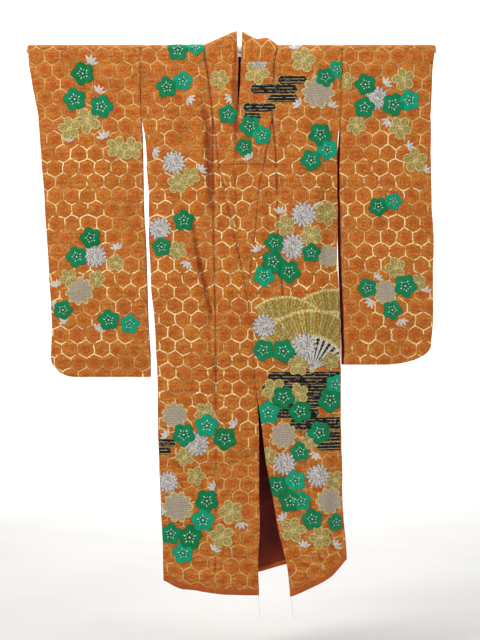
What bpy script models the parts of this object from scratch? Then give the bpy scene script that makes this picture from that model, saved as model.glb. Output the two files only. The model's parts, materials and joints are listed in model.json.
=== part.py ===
"""A long-sleeved formal kimono hung on a straight rod that runs through both sleeves.

Every cloth piece is a thin wall between an inner and an outer face. Its points come from the levels below:
rows that go down the garment, with the place of each edge and seam at that level. Sizes are in millimetres,
x to the viewer's right, y to the back, and a drop is measured down from the rod's axis. The wearer's left
front (the viewer's right) lies over the wearer's right front.
"""

import math
from collections import Counter, namedtuple

import bmesh
import bpy
from mathutils import Vector

COLLECTION = "kimono"
MM = 0.001

# Cloth and gaps.
WALL = 2.0
COLLAR_WALL = 1.3
OVER_COLLAR_WALL = 1.2
LINING_WALL = 1.0
SEAM_GAP = 0.3
SEAM_DEPTH = 2.5
SLEEVE_EDGE_DEPTH = 1.5

# The rod, and the round bend of the cloth over it, whose flats clear the rod by the seam gap.
ROD_RADIUS = 12.0
ROD_LEFT_END = -655.6
ROD_RIGHT_END = 615.0
ROD_SIDES = 24
ROD_CHAMFER = 1.0
BEND_STEPS = 6
BEND_RADIUS = (ROD_RADIUS + SEAM_GAP) / math.cos(math.pi / (2 * BEND_STEPS))

# Body.
CENTRE_BACK = 14.0
BACK_NECK_DROP = 20.0
SIDE_SEAM_TOP = 358
HEM_LEVEL = 1690
STRETCH_FROM = 745
NECK_COLUMNS = 3
PANEL_COLUMNS = 7
OVERLAP_COLUMNS = 3
LINING_TOP = 1060

# The upper front stands over the lower one: the lift starts with the drop and fades out along x.
Ease = namedtuple("Ease", "low high")
LAYER_LIFT = 6.0
LIFT_STARTS = Ease(60, 160)
LIFT_FADES = Ease(80, 170)

# Hem rolls, padded and turned out below each panel.
ROLL_HEIGHT = 15.0
ROLL_DEPTH = 9.0
ROLL_DEPTH_AT_SIDE = 5.6
ROLL_SIDES = 8

# Sleeves.
SLEEVE_COLUMNS = 8
INNER_EASE = Ease(0, 0.3)
OUTER_EASE = Ease(0.65, 1)
CORNER_TURNS = (0, 25, 45, 65, 90)
CUFF_END = 215

# Collar.
COLLAR_COLUMNS = 5
OVER_COLLAR_END = 358
COLLAR_END = 745
COLLAR_BACK_ROWS = 5
NECK_CORNER = 0.2
COLLAR_BULGE = 6.0

THREAD_DIAMETER = 1.2

# Levels of each half of the fronts. side is the edge at the sleeve or side seam. seam is the front panel's
# inner edge, at the collar above level 215 and at the overlap panel below it. collar is the seam between
# the collar and the overlap panel. free is the edge at the front opening.
FrontLevel = namedtuple("FrontLevel", "level side seam collar free")
RIGHT_FRONT = [
    FrontLevel(0, -301, -105, None, -3),
    FrontLevel(40, -301, -99, None, 1),
    FrontLevel(80, -301, -93, None, 0),
    FrontLevel(120, -301, -88, None, -1),
    FrontLevel(160, -300, -83, None, -1),
    FrontLevel(215, -298, -78, -78, 0),
    FrontLevel(232, -295, -78, -76, 1),
    FrontLevel(290, -286, -78, -68, 3),
    FrontLevel(358, -282, -78, -59, 7),
    FrontLevel(430, -276, -77, -45, 12),
    FrontLevel(510, -274, -76, -27, 19),
    FrontLevel(590, -274, -75, -9, 27),
    FrontLevel(670, -270, -73, 14, 34),
    FrontLevel(745, -267, -72, 35, 40),
    FrontLevel(840, -257, -70, None, 48),
    FrontLevel(950, -252, -69, None, 55),
    FrontLevel(1060, -247, -68, None, 58),
    FrontLevel(1170, -246, -68, None, 64),
    FrontLevel(1280, -244, -68, None, 65),
    FrontLevel(1390, -240, -68, None, 65),
    FrontLevel(1500, -235, -69, None, 67),
    FrontLevel(1600, -231, -70, None, 62),
    FrontLevel(1690, -229, -71, None, 65),
]
LEFT_FRONT = [
    FrontLevel(0, 321, 121, None, 12),
    FrontLevel(40, 321, 112, None, 9),
    FrontLevel(80, 321, 111, None, 8),
    FrontLevel(120, 320, 110, None, 6),
    FrontLevel(160, 319, 108, None, 2),
    FrontLevel(215, 316, 106, 106, -3),
    FrontLevel(232, 314, 108, 103, -4),
    FrontLevel(290, 309, 114, 93, -8),
    FrontLevel(358, 306, 118, 81, -8),
    FrontLevel(430, 305, 120, 66, -6),
    FrontLevel(510, 307, 123, 59, -3),
    FrontLevel(590, 305, 127, 52, 1),
    FrontLevel(670, 306, 132, 42, 11),
    FrontLevel(745, 311, 137, 31, 26),
    FrontLevel(840, 315, 145, None, 39),
    FrontLevel(950, 316, 157, None, 49),
    FrontLevel(1060, 317, 173, None, 57),
    FrontLevel(1170, 317, 189, None, 73),
    FrontLevel(1280, 319, 206, None, 86),
    FrontLevel(1390, 321, 218, None, 107),
    FrontLevel(1500, 323, 231, None, 126),
    FrontLevel(1600, 329, 248, None, 150),
    FrontLevel(1690, 335, 272, None, 160),
]

# The sleeves' inner edge, free below level 215, and outer edge. reach is how far the back layer's free
# edge lies inside the front layer's.
SleeveLevel = namedtuple("SleeveLevel", "level inner outer reach")
RIGHT_SLEEVE = [
    SleeveLevel(0, -301, -651, 0),
    SleeveLevel(40, -301, -647, 0),
    SleeveLevel(80, -301, -642, 0),
    SleeveLevel(120, -301, -636, 0),
    SleeveLevel(160, -300, -628, 0),
    SleeveLevel(215, -298, -618, 0),
    SleeveLevel(290, -294, -612, 0),
    SleeveLevel(358, -293, -606, 0),
    SleeveLevel(430, -292, -600, 0),
    SleeveLevel(510, -290, -595, 0),
    SleeveLevel(590, -285, -590, 0),
    SleeveLevel(670, -282, -585, 0),
    SleeveLevel(745, -280, -580, 0),
    SleeveLevel(840, -277, -575, 0),
    SleeveLevel(953, -270, -578, 0),
]
LEFT_SLEEVE = [
    SleeveLevel(0, 321, 611, 0),
    SleeveLevel(40, 321, 604, 0),
    SleeveLevel(80, 321, 601, 0),
    SleeveLevel(120, 320, 600, 0),
    SleeveLevel(160, 319, 599, 0),
    SleeveLevel(215, 316, 597, 0),
    SleeveLevel(290, 315, 596, 4),
    SleeveLevel(358, 314, 596, 8),
    SleeveLevel(430, 314, 597, 8),
    SleeveLevel(510, 316, 600, 8),
    SleeveLevel(590, 317, 604, 8),
    SleeveLevel(670, 319, 603, 8),
    SleeveLevel(745, 322, 602, 8),
    SleeveLevel(840, 326, 602, 8),
    SleeveLevel(915, 328, 597, 8),
]
Corner = namedtuple("Corner", "width height")
RIGHT_CORNER = Corner(75, 60)
LEFT_CORNER = Corner(148, 60)

# Hem outlines, from the side to the free edge or the centre back, with the padded roll.
Hem = namedtuple("Hem", "x drop")
RIGHT_HEM = [Hem(-229, 1645), Hem(-192, 1663), Hem(-127, 1673), Hem(-74, 1682), Hem(70, 1688)]
LEFT_HEM = [
    Hem(150, 1695),
    Hem(189, 1682),
    Hem(229, 1663),
    Hem(267, 1644),
    Hem(294, 1626),
    Hem(313, 1607),
    Hem(335, 1581),
]
BACK_HEM = [Hem(-229, 1645), Hem(14, 1630), Hem(65, 1622), Hem(152, 1598), Hem(335, 1581)]

# Depths from the plane of the rod to the cloth's inner face.
Depth = namedtuple("Depth", "drop front back edge")
DEPTHS = [
    Depth(0, BEND_RADIUS, BEND_RADIUS, BEND_RADIUS),
    Depth(80, 14, 13, 11),
    Depth(215, 16, 14, 8),
    Depth(358, 17, 15, 3),
    Depth(745, 20, 16, SEAM_DEPTH),
    Depth(1690, 26, 20, SEAM_DEPTH),
]
SleeveDepth = namedtuple("SleeveDepth", "drop inner middle outer")
SLEEVE_DEPTHS = [
    SleeveDepth(0, BEND_RADIUS, BEND_RADIUS, BEND_RADIUS),
    SleeveDepth(80, 11, 12, 8.5),
    SleeveDepth(215, 8, 11, SLEEVE_EDGE_DEPTH),
    SleeveDepth(290, 8.5, 10.5, SLEEVE_EDGE_DEPTH),
    SleeveDepth(590, 7.5, 10, SLEEVE_EDGE_DEPTH),
    SleeveDepth(900, 7, 10, SLEEVE_EDGE_DEPTH),
]
SIDE_ROUNDING = 70.0
BOTTOM_ROUNDING = 90.0

# Soft folds: ridges that stand out of the fronts and the back, each along a slanted line.
Fold = namedtuple("Fold", "top_x top_drop low_x low_drop width height")
FRONT_FOLDS = [
    Fold(-125, 60, -112, 560, 30, 7),
    Fold(-205, 40, -190, 700, 42, 4),
    Fold(-165, 480, -96, 960, 30, 7),
    Fold(-130, 900, -140, 1660, 50, 5),
    Fold(-20, 900, -15, 1660, 36, 4),
    Fold(180, 50, 186, 620, 44, 5),
    Fold(250, 380, 236, 1100, 42, 5),
    Fold(255, 1000, 280, 1660, 34, 5),
]
BACK_FOLDS = [
    Fold(-150, 60, -158, 1600, 60, 6),
    Fold(-60, 200, -66, 1600, 46, 5),
    Fold(90, 120, 84, 1600, 46, 5),
    Fold(200, 60, 216, 1560, 60, 6),
]

# The collar's crest over the rod, from its seam (0) to its free edge (1).
Crest = namedtuple("Crest", "across height")
RIGHT_CREST = [Crest(0, BEND_RADIUS), Crest(0.5, 35), Crest(0.85, 51), Crest(1, 56)]
LEFT_CREST = [Crest(0, BEND_RADIUS), Crest(0.25, 33), Crest(0.6, 32), Crest(0.8, 42), Crest(1, 55)]

# The collar's free edge behind the neck, from over the rod to the centre back.
BackNeck = namedtuple("BackNeck", "along x y drop")
RIGHT_NECK = [
    BackNeck(0, -8, BEND_RADIUS, -43),
    BackNeck(0.3, -42, 26, -32),
    BackNeck(0.6, -40, 42, -24),
    BackNeck(1, CENTRE_BACK, 54, -16),
]
LEFT_NECK = [
    BackNeck(0, 14, BEND_RADIUS, -42),
    BackNeck(0.3, 58, 26, -30),
    BackNeck(0.6, 62, 42, -23),
    BackNeck(1, CENTRE_BACK, 54, -16),
]

# Loose threads at the two front hem corners. below is counted from the foot of the hem roll.
ThreadPoint = namedtuple("ThreadPoint", "x y below")
RIGHT_THREAD = [
    ThreadPoint(62.5, -27.5, 0),
    ThreadPoint(62.7, -27.5, 8),
    ThreadPoint(64.2, -28, 24),
    ThreadPoint(66.2, -28, 44),
    ThreadPoint(66.0, -27, 66),
]
LEFT_THREAD = [
    ThreadPoint(164.0, -27.5, 0),
    ThreadPoint(164.5, -27.5, 8),
    ThreadPoint(167.5, -28, 24),
    ThreadPoint(167.0, -28, 44),
    ThreadPoint(168.5, -27, 60),
    ThreadPoint(172.5, -26, 70),
    ThreadPoint(177.5, -25, 68),
]
THREAD_STEPS = 18

Finish = namedtuple("Finish", "colour roughness")
FINISHES = {
    "orange_silk": Finish((0.55, 0.16, 0.03), 0.6),
    "red_silk": Finish((0.28, 0.03, 0.015), 0.6),
    "hem_silk": Finish((0.42, 0.09, 0.02), 0.6),
    "white_thread": Finish((0.75, 0.72, 0.66), 0.8),
    "rod_paint": Finish((0.72, 0.72, 0.7), 0.35),
}

# The angle in degrees past which an edge is drawn sharp.
CLOTH_SHARP = 50
ROLL_SHARP = 60
ROD_SHARP = 40


def clear_scene():
    for obj in list(bpy.data.objects):
        bpy.data.objects.remove(obj, do_unlink=True)


def material(name):
    made = bpy.data.materials.get(name) or bpy.data.materials.new(name)
    made.use_nodes = True
    shader = made.node_tree.nodes["Principled BSDF"]
    shader.inputs["Base Color"].default_value = (*FINISHES[name].colour, 1)
    shader.inputs["Roughness"].default_value = FINISHES[name].roughness
    shader.inputs["Metallic"].default_value = 0.0
    return made


def add_object(name, data, finish):
    obj = bpy.data.objects.new(name, data)
    data.materials.append(material(finish))
    bpy.data.collections[COLLECTION].objects.link(obj)
    return obj


def add_solid(name, form, finish, sharp):
    """Turns the faces outward and makes an object of them."""
    bmesh.ops.recalc_face_normals(form, faces=form.faces)
    mesh = bpy.data.meshes.new(name)
    form.to_mesh(mesh)
    form.free()
    mesh.shade_smooth()
    mesh.set_sharp_from_angle(angle=math.radians(sharp))
    return add_object(name, mesh, finish)


def mix(first, second, share):
    return first + (second - first) * share


def smooth(value, low, high):
    """0 below low, 1 above high, and a soft step between."""
    share = min(max((value - low) / (high - low), 0), 1)
    return share * share * (3 - 2 * share)


def column_at(table, key, wanted, value):
    """The column called wanted, read between the rows of a table sorted by its column called key."""
    rows = [row for row in table if getattr(row, wanted) is not None]
    for low, high in zip(rows, rows[1:]):
        start, end = getattr(low, key), getattr(high, key)
        if value <= end:
            share = (value - start) / (end - start)
            return mix(getattr(low, wanted), getattr(high, wanted), max(share, 0))
    return getattr(rows[-1], wanted)


def folds_at(folds, x, drop):
    height = 0
    for fold in folds:
        share = (drop - fold.top_drop) / (fold.low_drop - fold.top_drop)
        if 0 < share < 1:
            away = (x - mix(fold.top_x, fold.low_x, share)) / fold.width
            height += fold.height * math.exp(-away * away) * math.sin(math.pi * share) ** 0.5
    return height


def rounded_side(x, drop):
    """0 at a side seam and 1 well inside the panel."""
    left = column_at(RIGHT_FRONT, "level", "side", drop)
    right = column_at(LEFT_FRONT, "level", "side", drop)
    return smooth(min(x - left, right - x), 0, SIDE_ROUNDING)


def front_depth(x, drop, over):
    """The front's inner face. The upper front stands over the lower one by the layer's lift."""
    edge = column_at(DEPTHS, "drop", "edge", drop)
    full = column_at(DEPTHS, "drop", "front", drop) + folds_at(FRONT_FOLDS, x, drop)
    lift = LAYER_LIFT * smooth(drop, *LIFT_STARTS) * (1 - smooth(x, *LIFT_FADES)) if over else 0
    return mix(edge, full, rounded_side(x, drop)) + lift


def back_depth(x, drop):
    edge = column_at(DEPTHS, "drop", "edge", drop)
    full = column_at(DEPTHS, "drop", "back", drop) + folds_at(BACK_FOLDS, x, drop)
    return mix(edge, full, rounded_side(x, drop))


def drop_of(level, hem, x):
    """Levels below STRETCH_FROM are spread to end at the hem, above its roll."""
    if level <= STRETCH_FROM:
        return level
    hem_drop = column_at(hem, "x", "drop", x) - ROLL_HEIGHT - SEAM_GAP
    return STRETCH_FROM + (level - STRETCH_FROM) * (hem_drop - STRETCH_FROM) / (HEM_LEVEL - STRETCH_FROM)


def front_point(x, level, hem, over):
    drop = drop_of(level, hem, x)
    return Vector((x, -front_depth(x, drop, over), -drop))


def back_point(x, level):
    drop = drop_of(level, BACK_HEM, x)
    return Vector((x, back_depth(x, drop), -drop))


def bend_direction(step):
    """The outward direction on the round bend over the rod, from the back (0) to the front (BEND_STEPS)."""
    turn = math.pi * step / BEND_STEPS
    return Vector((0, math.cos(turn), math.sin(turn)))


class Cloth:
    """A wall of cloth: points on its inner face, the way each moves to the outer face, and triangles."""

    def __init__(self):
        self.points = []
        self.outward = []
        self.triangles = []

    def row(self, places, outward):
        """Adds a row of points, with None where the cloth is cut away, and returns their numbers."""
        numbers = []
        for index, place in enumerate(places):
            if place is None:
                numbers.append(None)
                continue
            self.points.append(Vector(place))
            self.outward.append(Vector(outward[index] if isinstance(outward, list) else outward))
            numbers.append(len(self.points) - 1)
        return numbers

    def join(self, first, second):
        """Fills between two rows."""
        for a, b, c, d in zip(first, first[1:], second[1:], second):
            if None not in (a, b, c, d):
                self.triangles += [(a, b, c), (a, c, d)]

    def loft(self, rows):
        for first, second in zip(rows, rows[1:]):
            self.join(first, second)

    def build(self, name, finish, wall, lifted=0.0):
        """Makes the closed wall, its inner face lifted off the points by the given distance."""
        form = bmesh.new()
        used = sorted({number for triangle in self.triangles for number in triangle})
        inner = {n: form.verts.new((self.points[n] + self.outward[n] * lifted) * MM) for n in used}
        top = lifted + wall
        outer = {n: form.verts.new((self.points[n] + self.outward[n] * top) * MM) for n in used}
        sides = Counter()
        for a, b, c in self.triangles:
            form.faces.new((inner[c], inner[b], inner[a]))
            form.faces.new((outer[a], outer[b], outer[c]))
            sides.update(frozenset(pair) for pair in ((a, b), (b, c), (c, a)))
        for side, count in sides.items():
            if count == 1:
                a, b = sorted(side)
                form.faces.new((inner[a], inner[b], outer[b]))
                form.faces.new((inner[a], outer[b], outer[a]))
        add_solid(name, form, finish, CLOTH_SHARP)


FRONT = Vector((0, -1, 0))
BACK = Vector((0, 1, 0))
DOWN = Vector((0, 0, -1))
UP = Vector((0, 0, 1))


def outward_of(x):
    return Vector((math.copysign(1, x), 0, 0))


def back_columns(levels, level):
    """The x of each column of a back panel, from the centre back seam to the side."""
    side = column_at(levels, "level", "side", level)
    neck = levels[0].seam
    centre = CENTRE_BACK + math.copysign(SEAM_GAP / 2, side)
    inner = [mix(centre, neck, j / NECK_COLUMNS) for j in range(NECK_COLUMNS)]
    return inner + [mix(neck, side, j / PANEL_COLUMNS) for j in range(PANEL_COLUMNS + 1)]


def front_columns(levels, row):
    """The x of each column of a front panel, with none inside its seam."""
    return [mix(row.seam, row.side, j / PANEL_COLUMNS) for j in range(PANEL_COLUMNS + 1)]


def body_panel(name, levels, hem, over):
    """One length of cloth from the back hem over the shoulder to the front hem, closed at its side seam."""
    cloth = Cloth()
    side = outward_of(levels[0].side)
    no_neck = [None] * NECK_COLUMNS

    def directions(way, level):
        plain = [way] * (NECK_COLUMNS + PANEL_COLUMNS)
        return plain + [way + side if level >= SIDE_SEAM_TOP else way]

    backs, fronts = [], []
    for row in reversed(levels[1:]):
        places = [back_point(x, row.level) for x in back_columns(levels, row.level)]
        backs.append(cloth.row(places, directions(BACK, row.level)))
    neck_places = [back_point(x, BACK_NECK_DROP) for x in back_columns(levels, BACK_NECK_DROP)]
    neckline = cloth.row(neck_places, directions(BACK, 0))
    bend = []
    for step in range(BEND_STEPS + 1):
        way = bend_direction(step)
        arc = [Vector((x, 0, 0)) + way * BEND_RADIUS for x in front_columns(levels, levels[0])]
        bend.append(cloth.row(no_neck + arc, way))
    for row in levels[1:]:
        places = [front_point(x, row.level, hem, over) for x in front_columns(levels, row)]
        fronts.append(cloth.row(no_neck + places, directions(FRONT, row.level)))
    cloth.loft(backs + [neckline] + bend + fronts)
    closed = [index for index, row in enumerate(levels[1:]) if row.level >= SIDE_SEAM_TOP]
    backs.reverse()
    cloth.loft([[backs[index][-1], fronts[index][-1]] for index in closed])
    cloth.build(name, "orange_silk", WALL)
    front_hem = [cloth.points[n] for n in fronts[-1] if n is not None]
    back_hem = [cloth.points[n] for n in backs[-1]]
    return front_hem, back_hem


def overlap_panel(name, levels, hem, over):
    """The narrow panel between the front panel's seam and the front opening, cut on a slant at the collar."""
    cloth = Cloth()
    inward = -outward_of(levels[0].side)
    rows = []
    for row in levels:
        if row.level <= CUFF_END:
            continue
        start = row.seam + inward.x * SEAM_GAP
        edge = row.free if row.collar is None else row.collar - inward.x * SEAM_GAP
        columns = [mix(start, edge, j / OVERLAP_COLUMNS) for j in range(OVERLAP_COLUMNS + 1)]
        rows.append(cloth.row([front_point(x, row.level, hem, over) for x in columns], FRONT))
    cloth.loft(rows)
    cloth.build(name, "orange_silk", WALL)
    return [cloth.points[n] for n in rows[-1]]


def lining(name, levels):
    """The red lining of the back panel's lower part, seen between the parted fronts."""
    cloth = Cloth()
    rows = []
    for row in reversed(levels):
        if row.level >= LINING_TOP:
            places = [back_point(x, row.level) for x in back_columns(levels, row.level)[:-1]]
            rows.append(cloth.row(places, FRONT))
    cloth.loft(rows)
    cloth.build(name, "red_silk", LINING_WALL, SEAM_GAP)


def hem_roll(name, line, way, side_end):
    """A padded roll under a panel's bottom edge, thinner where it meets the other one at a side seam."""
    form = bmesh.new()
    rings = []
    along = math.copysign(1, line[1].x - line[0].x)
    ends = {0: SEAM_GAP / 2, len(line) - 1: WALL if side_end else -SEAM_GAP / 2}
    for index, point in enumerate(line):
        depth = ROLL_DEPTH
        if side_end:
            depth = mix(ROLL_DEPTH_AT_SIDE, ROLL_DEPTH, smooth(abs(point.x - line[-1].x), 0, SIDE_ROUNDING))
        shift = Vector((ends.get(index, 0) * along, 0, 0))
        centre = point + shift + way * WALL / 2 + DOWN * (ROLL_HEIGHT / 2 + SEAM_GAP)
        ring = []
        for k in range(ROLL_SIDES):
            turn = 2 * math.pi * (k + 0.5) / ROLL_SIDES
            across = Vector((0, depth / 2 * math.cos(turn), ROLL_HEIGHT / 2 * math.sin(turn)))
            ring.append(form.verts.new((centre + across) * MM))
        rings.append(ring)
    for first, second in zip(rings, rings[1:]):
        for k in range(ROLL_SIDES):
            n = (k + 1) % ROLL_SIDES
            form.faces.new((first[k], first[n], second[n], second[k]))
    form.faces.new(rings[0])
    form.faces.new(rings[-1])
    bmesh.ops.triangulate(form, faces=form.faces)
    add_solid(name, form, "hem_silk", ROLL_SHARP)


def sleeve_depth(share, drop, bottom):
    inner, middle, outer = (column_at(SLEEVE_DEPTHS, "drop", key, drop) for key in ("inner", "middle", "outer"))
    depth = mix(inner, middle, smooth(share, *INNER_EASE))
    depth = mix(depth, outer, smooth(share, *OUTER_EASE))
    closing = min(max((bottom - drop) / BOTTOM_ROUNDING, 0), 1)
    return mix(SLEEVE_EDGE_DEPTH, depth, math.sin(closing * math.pi / 2))


def sleeve_rows(levels, corner):
    """Each row of a sleeve down to its bottom: drop, inner x, outer x, reach and the edge's direction."""
    side = math.copysign(1, levels[0].outer)
    rows = []
    for row in levels[:-1]:
        inner = row.inner + side * SEAM_GAP
        rows.append((row.level, inner, row.outer, row.reach, Vector((side, 0, 0))))
    last = levels[-1]
    for angle in CORNER_TURNS:
        turn = math.radians(angle)
        outer = last.outer - side * corner.width * (1 - math.cos(turn))
        drop = last.level + corner.height * math.sin(turn)
        edge = Vector((side * math.cos(turn), 0, -math.sin(turn)))
        rows.append((drop, last.inner + side * SEAM_GAP, outer, last.reach, edge))
    return rows


def sleeve(name, levels, corner):
    """A long sleeve, folded over the rod and closed along its bottom and its outer edge below the cuff."""
    cloth = Cloth()
    rows = sleeve_rows(levels, corner)
    bottom = rows[-1][0]
    layers = {}
    for way in (FRONT, BACK):
        layer = []
        for index, (drop, inner, outer, reach, edge) in enumerate(rows):
            if index == 0:
                continue
            places, ways = [], []
            start = inner - (reach if way is BACK else 0)
            for j in range(SLEEVE_COLUMNS + 1):
                share = j / SLEEVE_COLUMNS
                x = mix(start, outer, share)
                places.append(Vector((x, way.y * sleeve_depth(share, drop, bottom), -drop)))
                turned = way.copy()
                if j == SLEEVE_COLUMNS and drop >= CUFF_END:
                    turned += edge
                elif index == len(rows) - 1:
                    turned += DOWN
                ways.append(turned)
            layer.append(cloth.row(places, ways))
        layers[way.y] = layer
    bend = []
    _, inner, outer, _, _ = rows[0]
    for step in range(BEND_STEPS + 1):
        way = bend_direction(step)
        line = [mix(inner, outer, j / SLEEVE_COLUMNS) for j in range(SLEEVE_COLUMNS + 1)]
        bend.append(cloth.row([Vector((x, 0, 0)) + way * BEND_RADIUS for x in line], way))
    front, back = layers[FRONT.y], layers[BACK.y]
    cloth.loft(back[::-1] + bend + front)
    cloth.join(front[-1], back[-1])
    closed = [index for index, row in enumerate(rows[1:]) if row[0] >= CUFF_END]
    cloth.loft([[front[index][-1], back[index][-1]] for index in closed])
    cloth.build(name, "orange_silk", WALL)


def collar_rows(levels, hem, over, crest, neck):
    """Half of the collar's inner face, from its lower end up the front and round to the centre back."""
    inward = -outward_of(levels[0].side)
    shares = [j / COLLAR_COLUMNS for j in range(COLLAR_COLUMNS + 1)]
    rows = []
    for row in reversed(levels):
        if not 0 < row.level <= COLLAR_END:
            continue
        seam = row.seam if row.collar is None else row.collar
        seam += inward.x * SEAM_GAP
        places = [front_point(mix(seam, row.free, share), row.level, hem, over) for share in shares]
        if row.level == COLLAR_END:
            places = [place + UP * SEAM_GAP for place in places]
        rows.append((row.level, places, [FRONT] * len(shares)))
    top = levels[0]
    seam = top.seam + inward.x * SEAM_GAP
    crests = [column_at(crest, "across", "height", share) for share in shares]
    for step in range(BEND_STEPS, -1, -1):
        way = bend_direction(step)
        places = []
        for share, height in zip(shares, crests):
            centre = Vector((mix(seam, top.free, share), 0, height - BEND_RADIUS))
            places.append(centre + way * BEND_RADIUS)
        rows.append((0, places, [way] * len(shares)))
    for index in range(1, COLLAR_BACK_ROWS + 1):
        along = index / COLLAR_BACK_ROWS
        turn = min(along / NECK_CORNER, 1)
        sewn_x = mix(seam, CENTRE_BACK, max(along - NECK_CORNER, 0) / (1 - NECK_CORNER))
        sewn = Vector((sewn_x, BEND_RADIUS, -turn * (BACK_NECK_DROP - SEAM_GAP)))
        free = Vector([column_at(neck, "along", key, along) for key in ("x", "y")] + [0])
        free.z = -column_at(neck, "along", "drop", along)
        lean = (free - sewn).normalized()
        out = Vector((0, lean.z, -lean.y)).normalized()
        bulge = out * COLLAR_BULGE * along
        places = [sewn.lerp(free, share) + bulge * math.sin(math.pi * share) for share in shares]
        rows.append((0, places, square_ways(rows[-1][1], places)))
    # The bend's last row turns half way to the first row behind the neck.
    level, places, ways = rows[-COLLAR_BACK_ROWS - 1]
    halfway = [(a + b).normalized() for a, b in zip(ways, rows[-COLLAR_BACK_ROWS][2])]
    rows[-COLLAR_BACK_ROWS - 1] = (level, places, halfway)
    return rows


def square_ways(before, places):
    """The way out at each point of a row: straight back at the seam, and further on square to the surface."""
    squares = []
    for index, place in enumerate(places):
        across = places[min(index + 1, len(places) - 1)] - places[max(index - 1, 0)]
        squares.append(across.cross(place - before[index]).normalized())
    turn = math.copysign(1, squares[0].y)
    return [BACK] + [square * turn for square in squares[1:]]


def collar_cloth(lowest):
    right = collar_rows(RIGHT_FRONT, RIGHT_HEM, False, RIGHT_CREST, RIGHT_NECK)
    left = collar_rows(LEFT_FRONT, LEFT_HEM, True, LEFT_CREST, LEFT_NECK)
    cloth = Cloth()
    rows = [cloth.row(places, ways) for level, places, ways in right + left[-2::-1] if level <= lowest]
    cloth.loft(rows)
    return cloth


def rod():
    form = bmesh.new()
    length = (ROD_RIGHT_END - ROD_LEFT_END) * MM
    bmesh.ops.create_cone(
        form,
        cap_ends=True,
        segments=ROD_SIDES,
        radius1=ROD_RADIUS * MM,
        radius2=ROD_RADIUS * MM,
        depth=length,
    )
    obj = add_solid("rod", form, "rod_paint", ROD_SHARP)
    obj.location.x = (ROD_RIGHT_END + ROD_LEFT_END) / 2 * MM
    obj.rotation_euler.y = math.pi / 2
    chamfer = obj.modifiers.new("chamfer", "BEVEL")
    chamfer.width = ROD_CHAMFER * MM
    chamfer.segments = 1
    chamfer.limit_method = "ANGLE"
    chamfer.angle_limit = math.radians(ROD_SHARP)


def roll_foot(hem, x):
    """The drop of the hem roll's lowest face."""
    return column_at(hem, "x", "drop", x) - ROLL_HEIGHT / 2 * (1 - math.cos(math.pi / ROLL_SIDES))


def smooth_route(route, steps):
    """Evenly spaced points on a smooth curve through the route's own points."""
    ends = [2 * route[0] - route[1], 2 * route[-1] - route[-2]]
    padded = ends[:1] + route + ends[1:]
    places = []
    for k in range(steps + 1):
        position = k / steps * (len(route) - 1)
        index = min(int(position), len(route) - 2)
        t = position - index
        a, b, c, d = padded[index : index + 4]
        even = b * 2 + (c - a) * t + (2 * a - 5 * b + 4 * c - d) * t**2 + (3 * b - a - 3 * c + d) * t**3
        places.append(even / 2)
    return places


def thread(name, points, hem):
    start = roll_foot(hem, points[0].x) + SEAM_GAP
    route = [Vector((point.x, point.y, -start - point.below)) for point in points]
    curve = bpy.data.curves.new(name, "CURVE")
    curve.dimensions = "3D"
    curve.bevel_depth = THREAD_DIAMETER / 2 * MM
    curve.bevel_resolution = 2
    curve.use_fill_caps = True
    places = smooth_route(route, THREAD_STEPS)
    spline = curve.splines.new("POLY")
    spline.points.add(len(places) - 1)
    for point, place in zip(spline.points, places):
        point.co = (*(place * MM), 1)
    add_object(name, curve, "white_thread")


def build():
    clear_scene()
    bpy.context.scene.collection.children.link(bpy.data.collections.new(COLLECTION))
    rod()
    halves = (
        ("right", RIGHT_FRONT, RIGHT_HEM, False, RIGHT_SLEEVE, RIGHT_CORNER, RIGHT_THREAD),
        ("left", LEFT_FRONT, LEFT_HEM, True, LEFT_SLEEVE, LEFT_CORNER, LEFT_THREAD),
    )
    for half, levels, hem, over, sleeve_levels, corner, thread_points in halves:
        front_line, back_line = body_panel(f"body_{half}", levels, hem, over)
        overlap_line = overlap_panel(f"overlap_{half}", levels, hem, over)
        lining(f"lining_back_{half}", levels)
        hem_roll(f"hem_front_{half}", front_line, FRONT, True)
        hem_roll(f"hem_overlap_{half}", overlap_line, FRONT, False)
        hem_roll(f"hem_back_{half}", back_line, BACK, True)
        sleeve(f"sleeve_{half}", sleeve_levels, corner)
        thread(f"thread_{half}", thread_points, hem)
    collar_cloth(COLLAR_END).build("collar", "orange_silk", COLLAR_WALL)
    collar_cloth(OVER_COLLAR_END).build(
        "over_collar", "orange_silk", OVER_COLLAR_WALL, COLLAR_WALL + SEAM_GAP
    )


build()
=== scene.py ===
"""The looks of a long-sleeved silk kimono hung on a rod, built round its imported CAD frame.

Lengths in the tables are in millimetres: x to the viewer's right, y to the back, and a drop is measured down
from the rod's axis. The tables repeat those of the part's source. The finer cloth here follows them.
"""

import functools
import itertools
import json
import math
from collections import namedtuple
from contextlib import contextmanager

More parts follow.
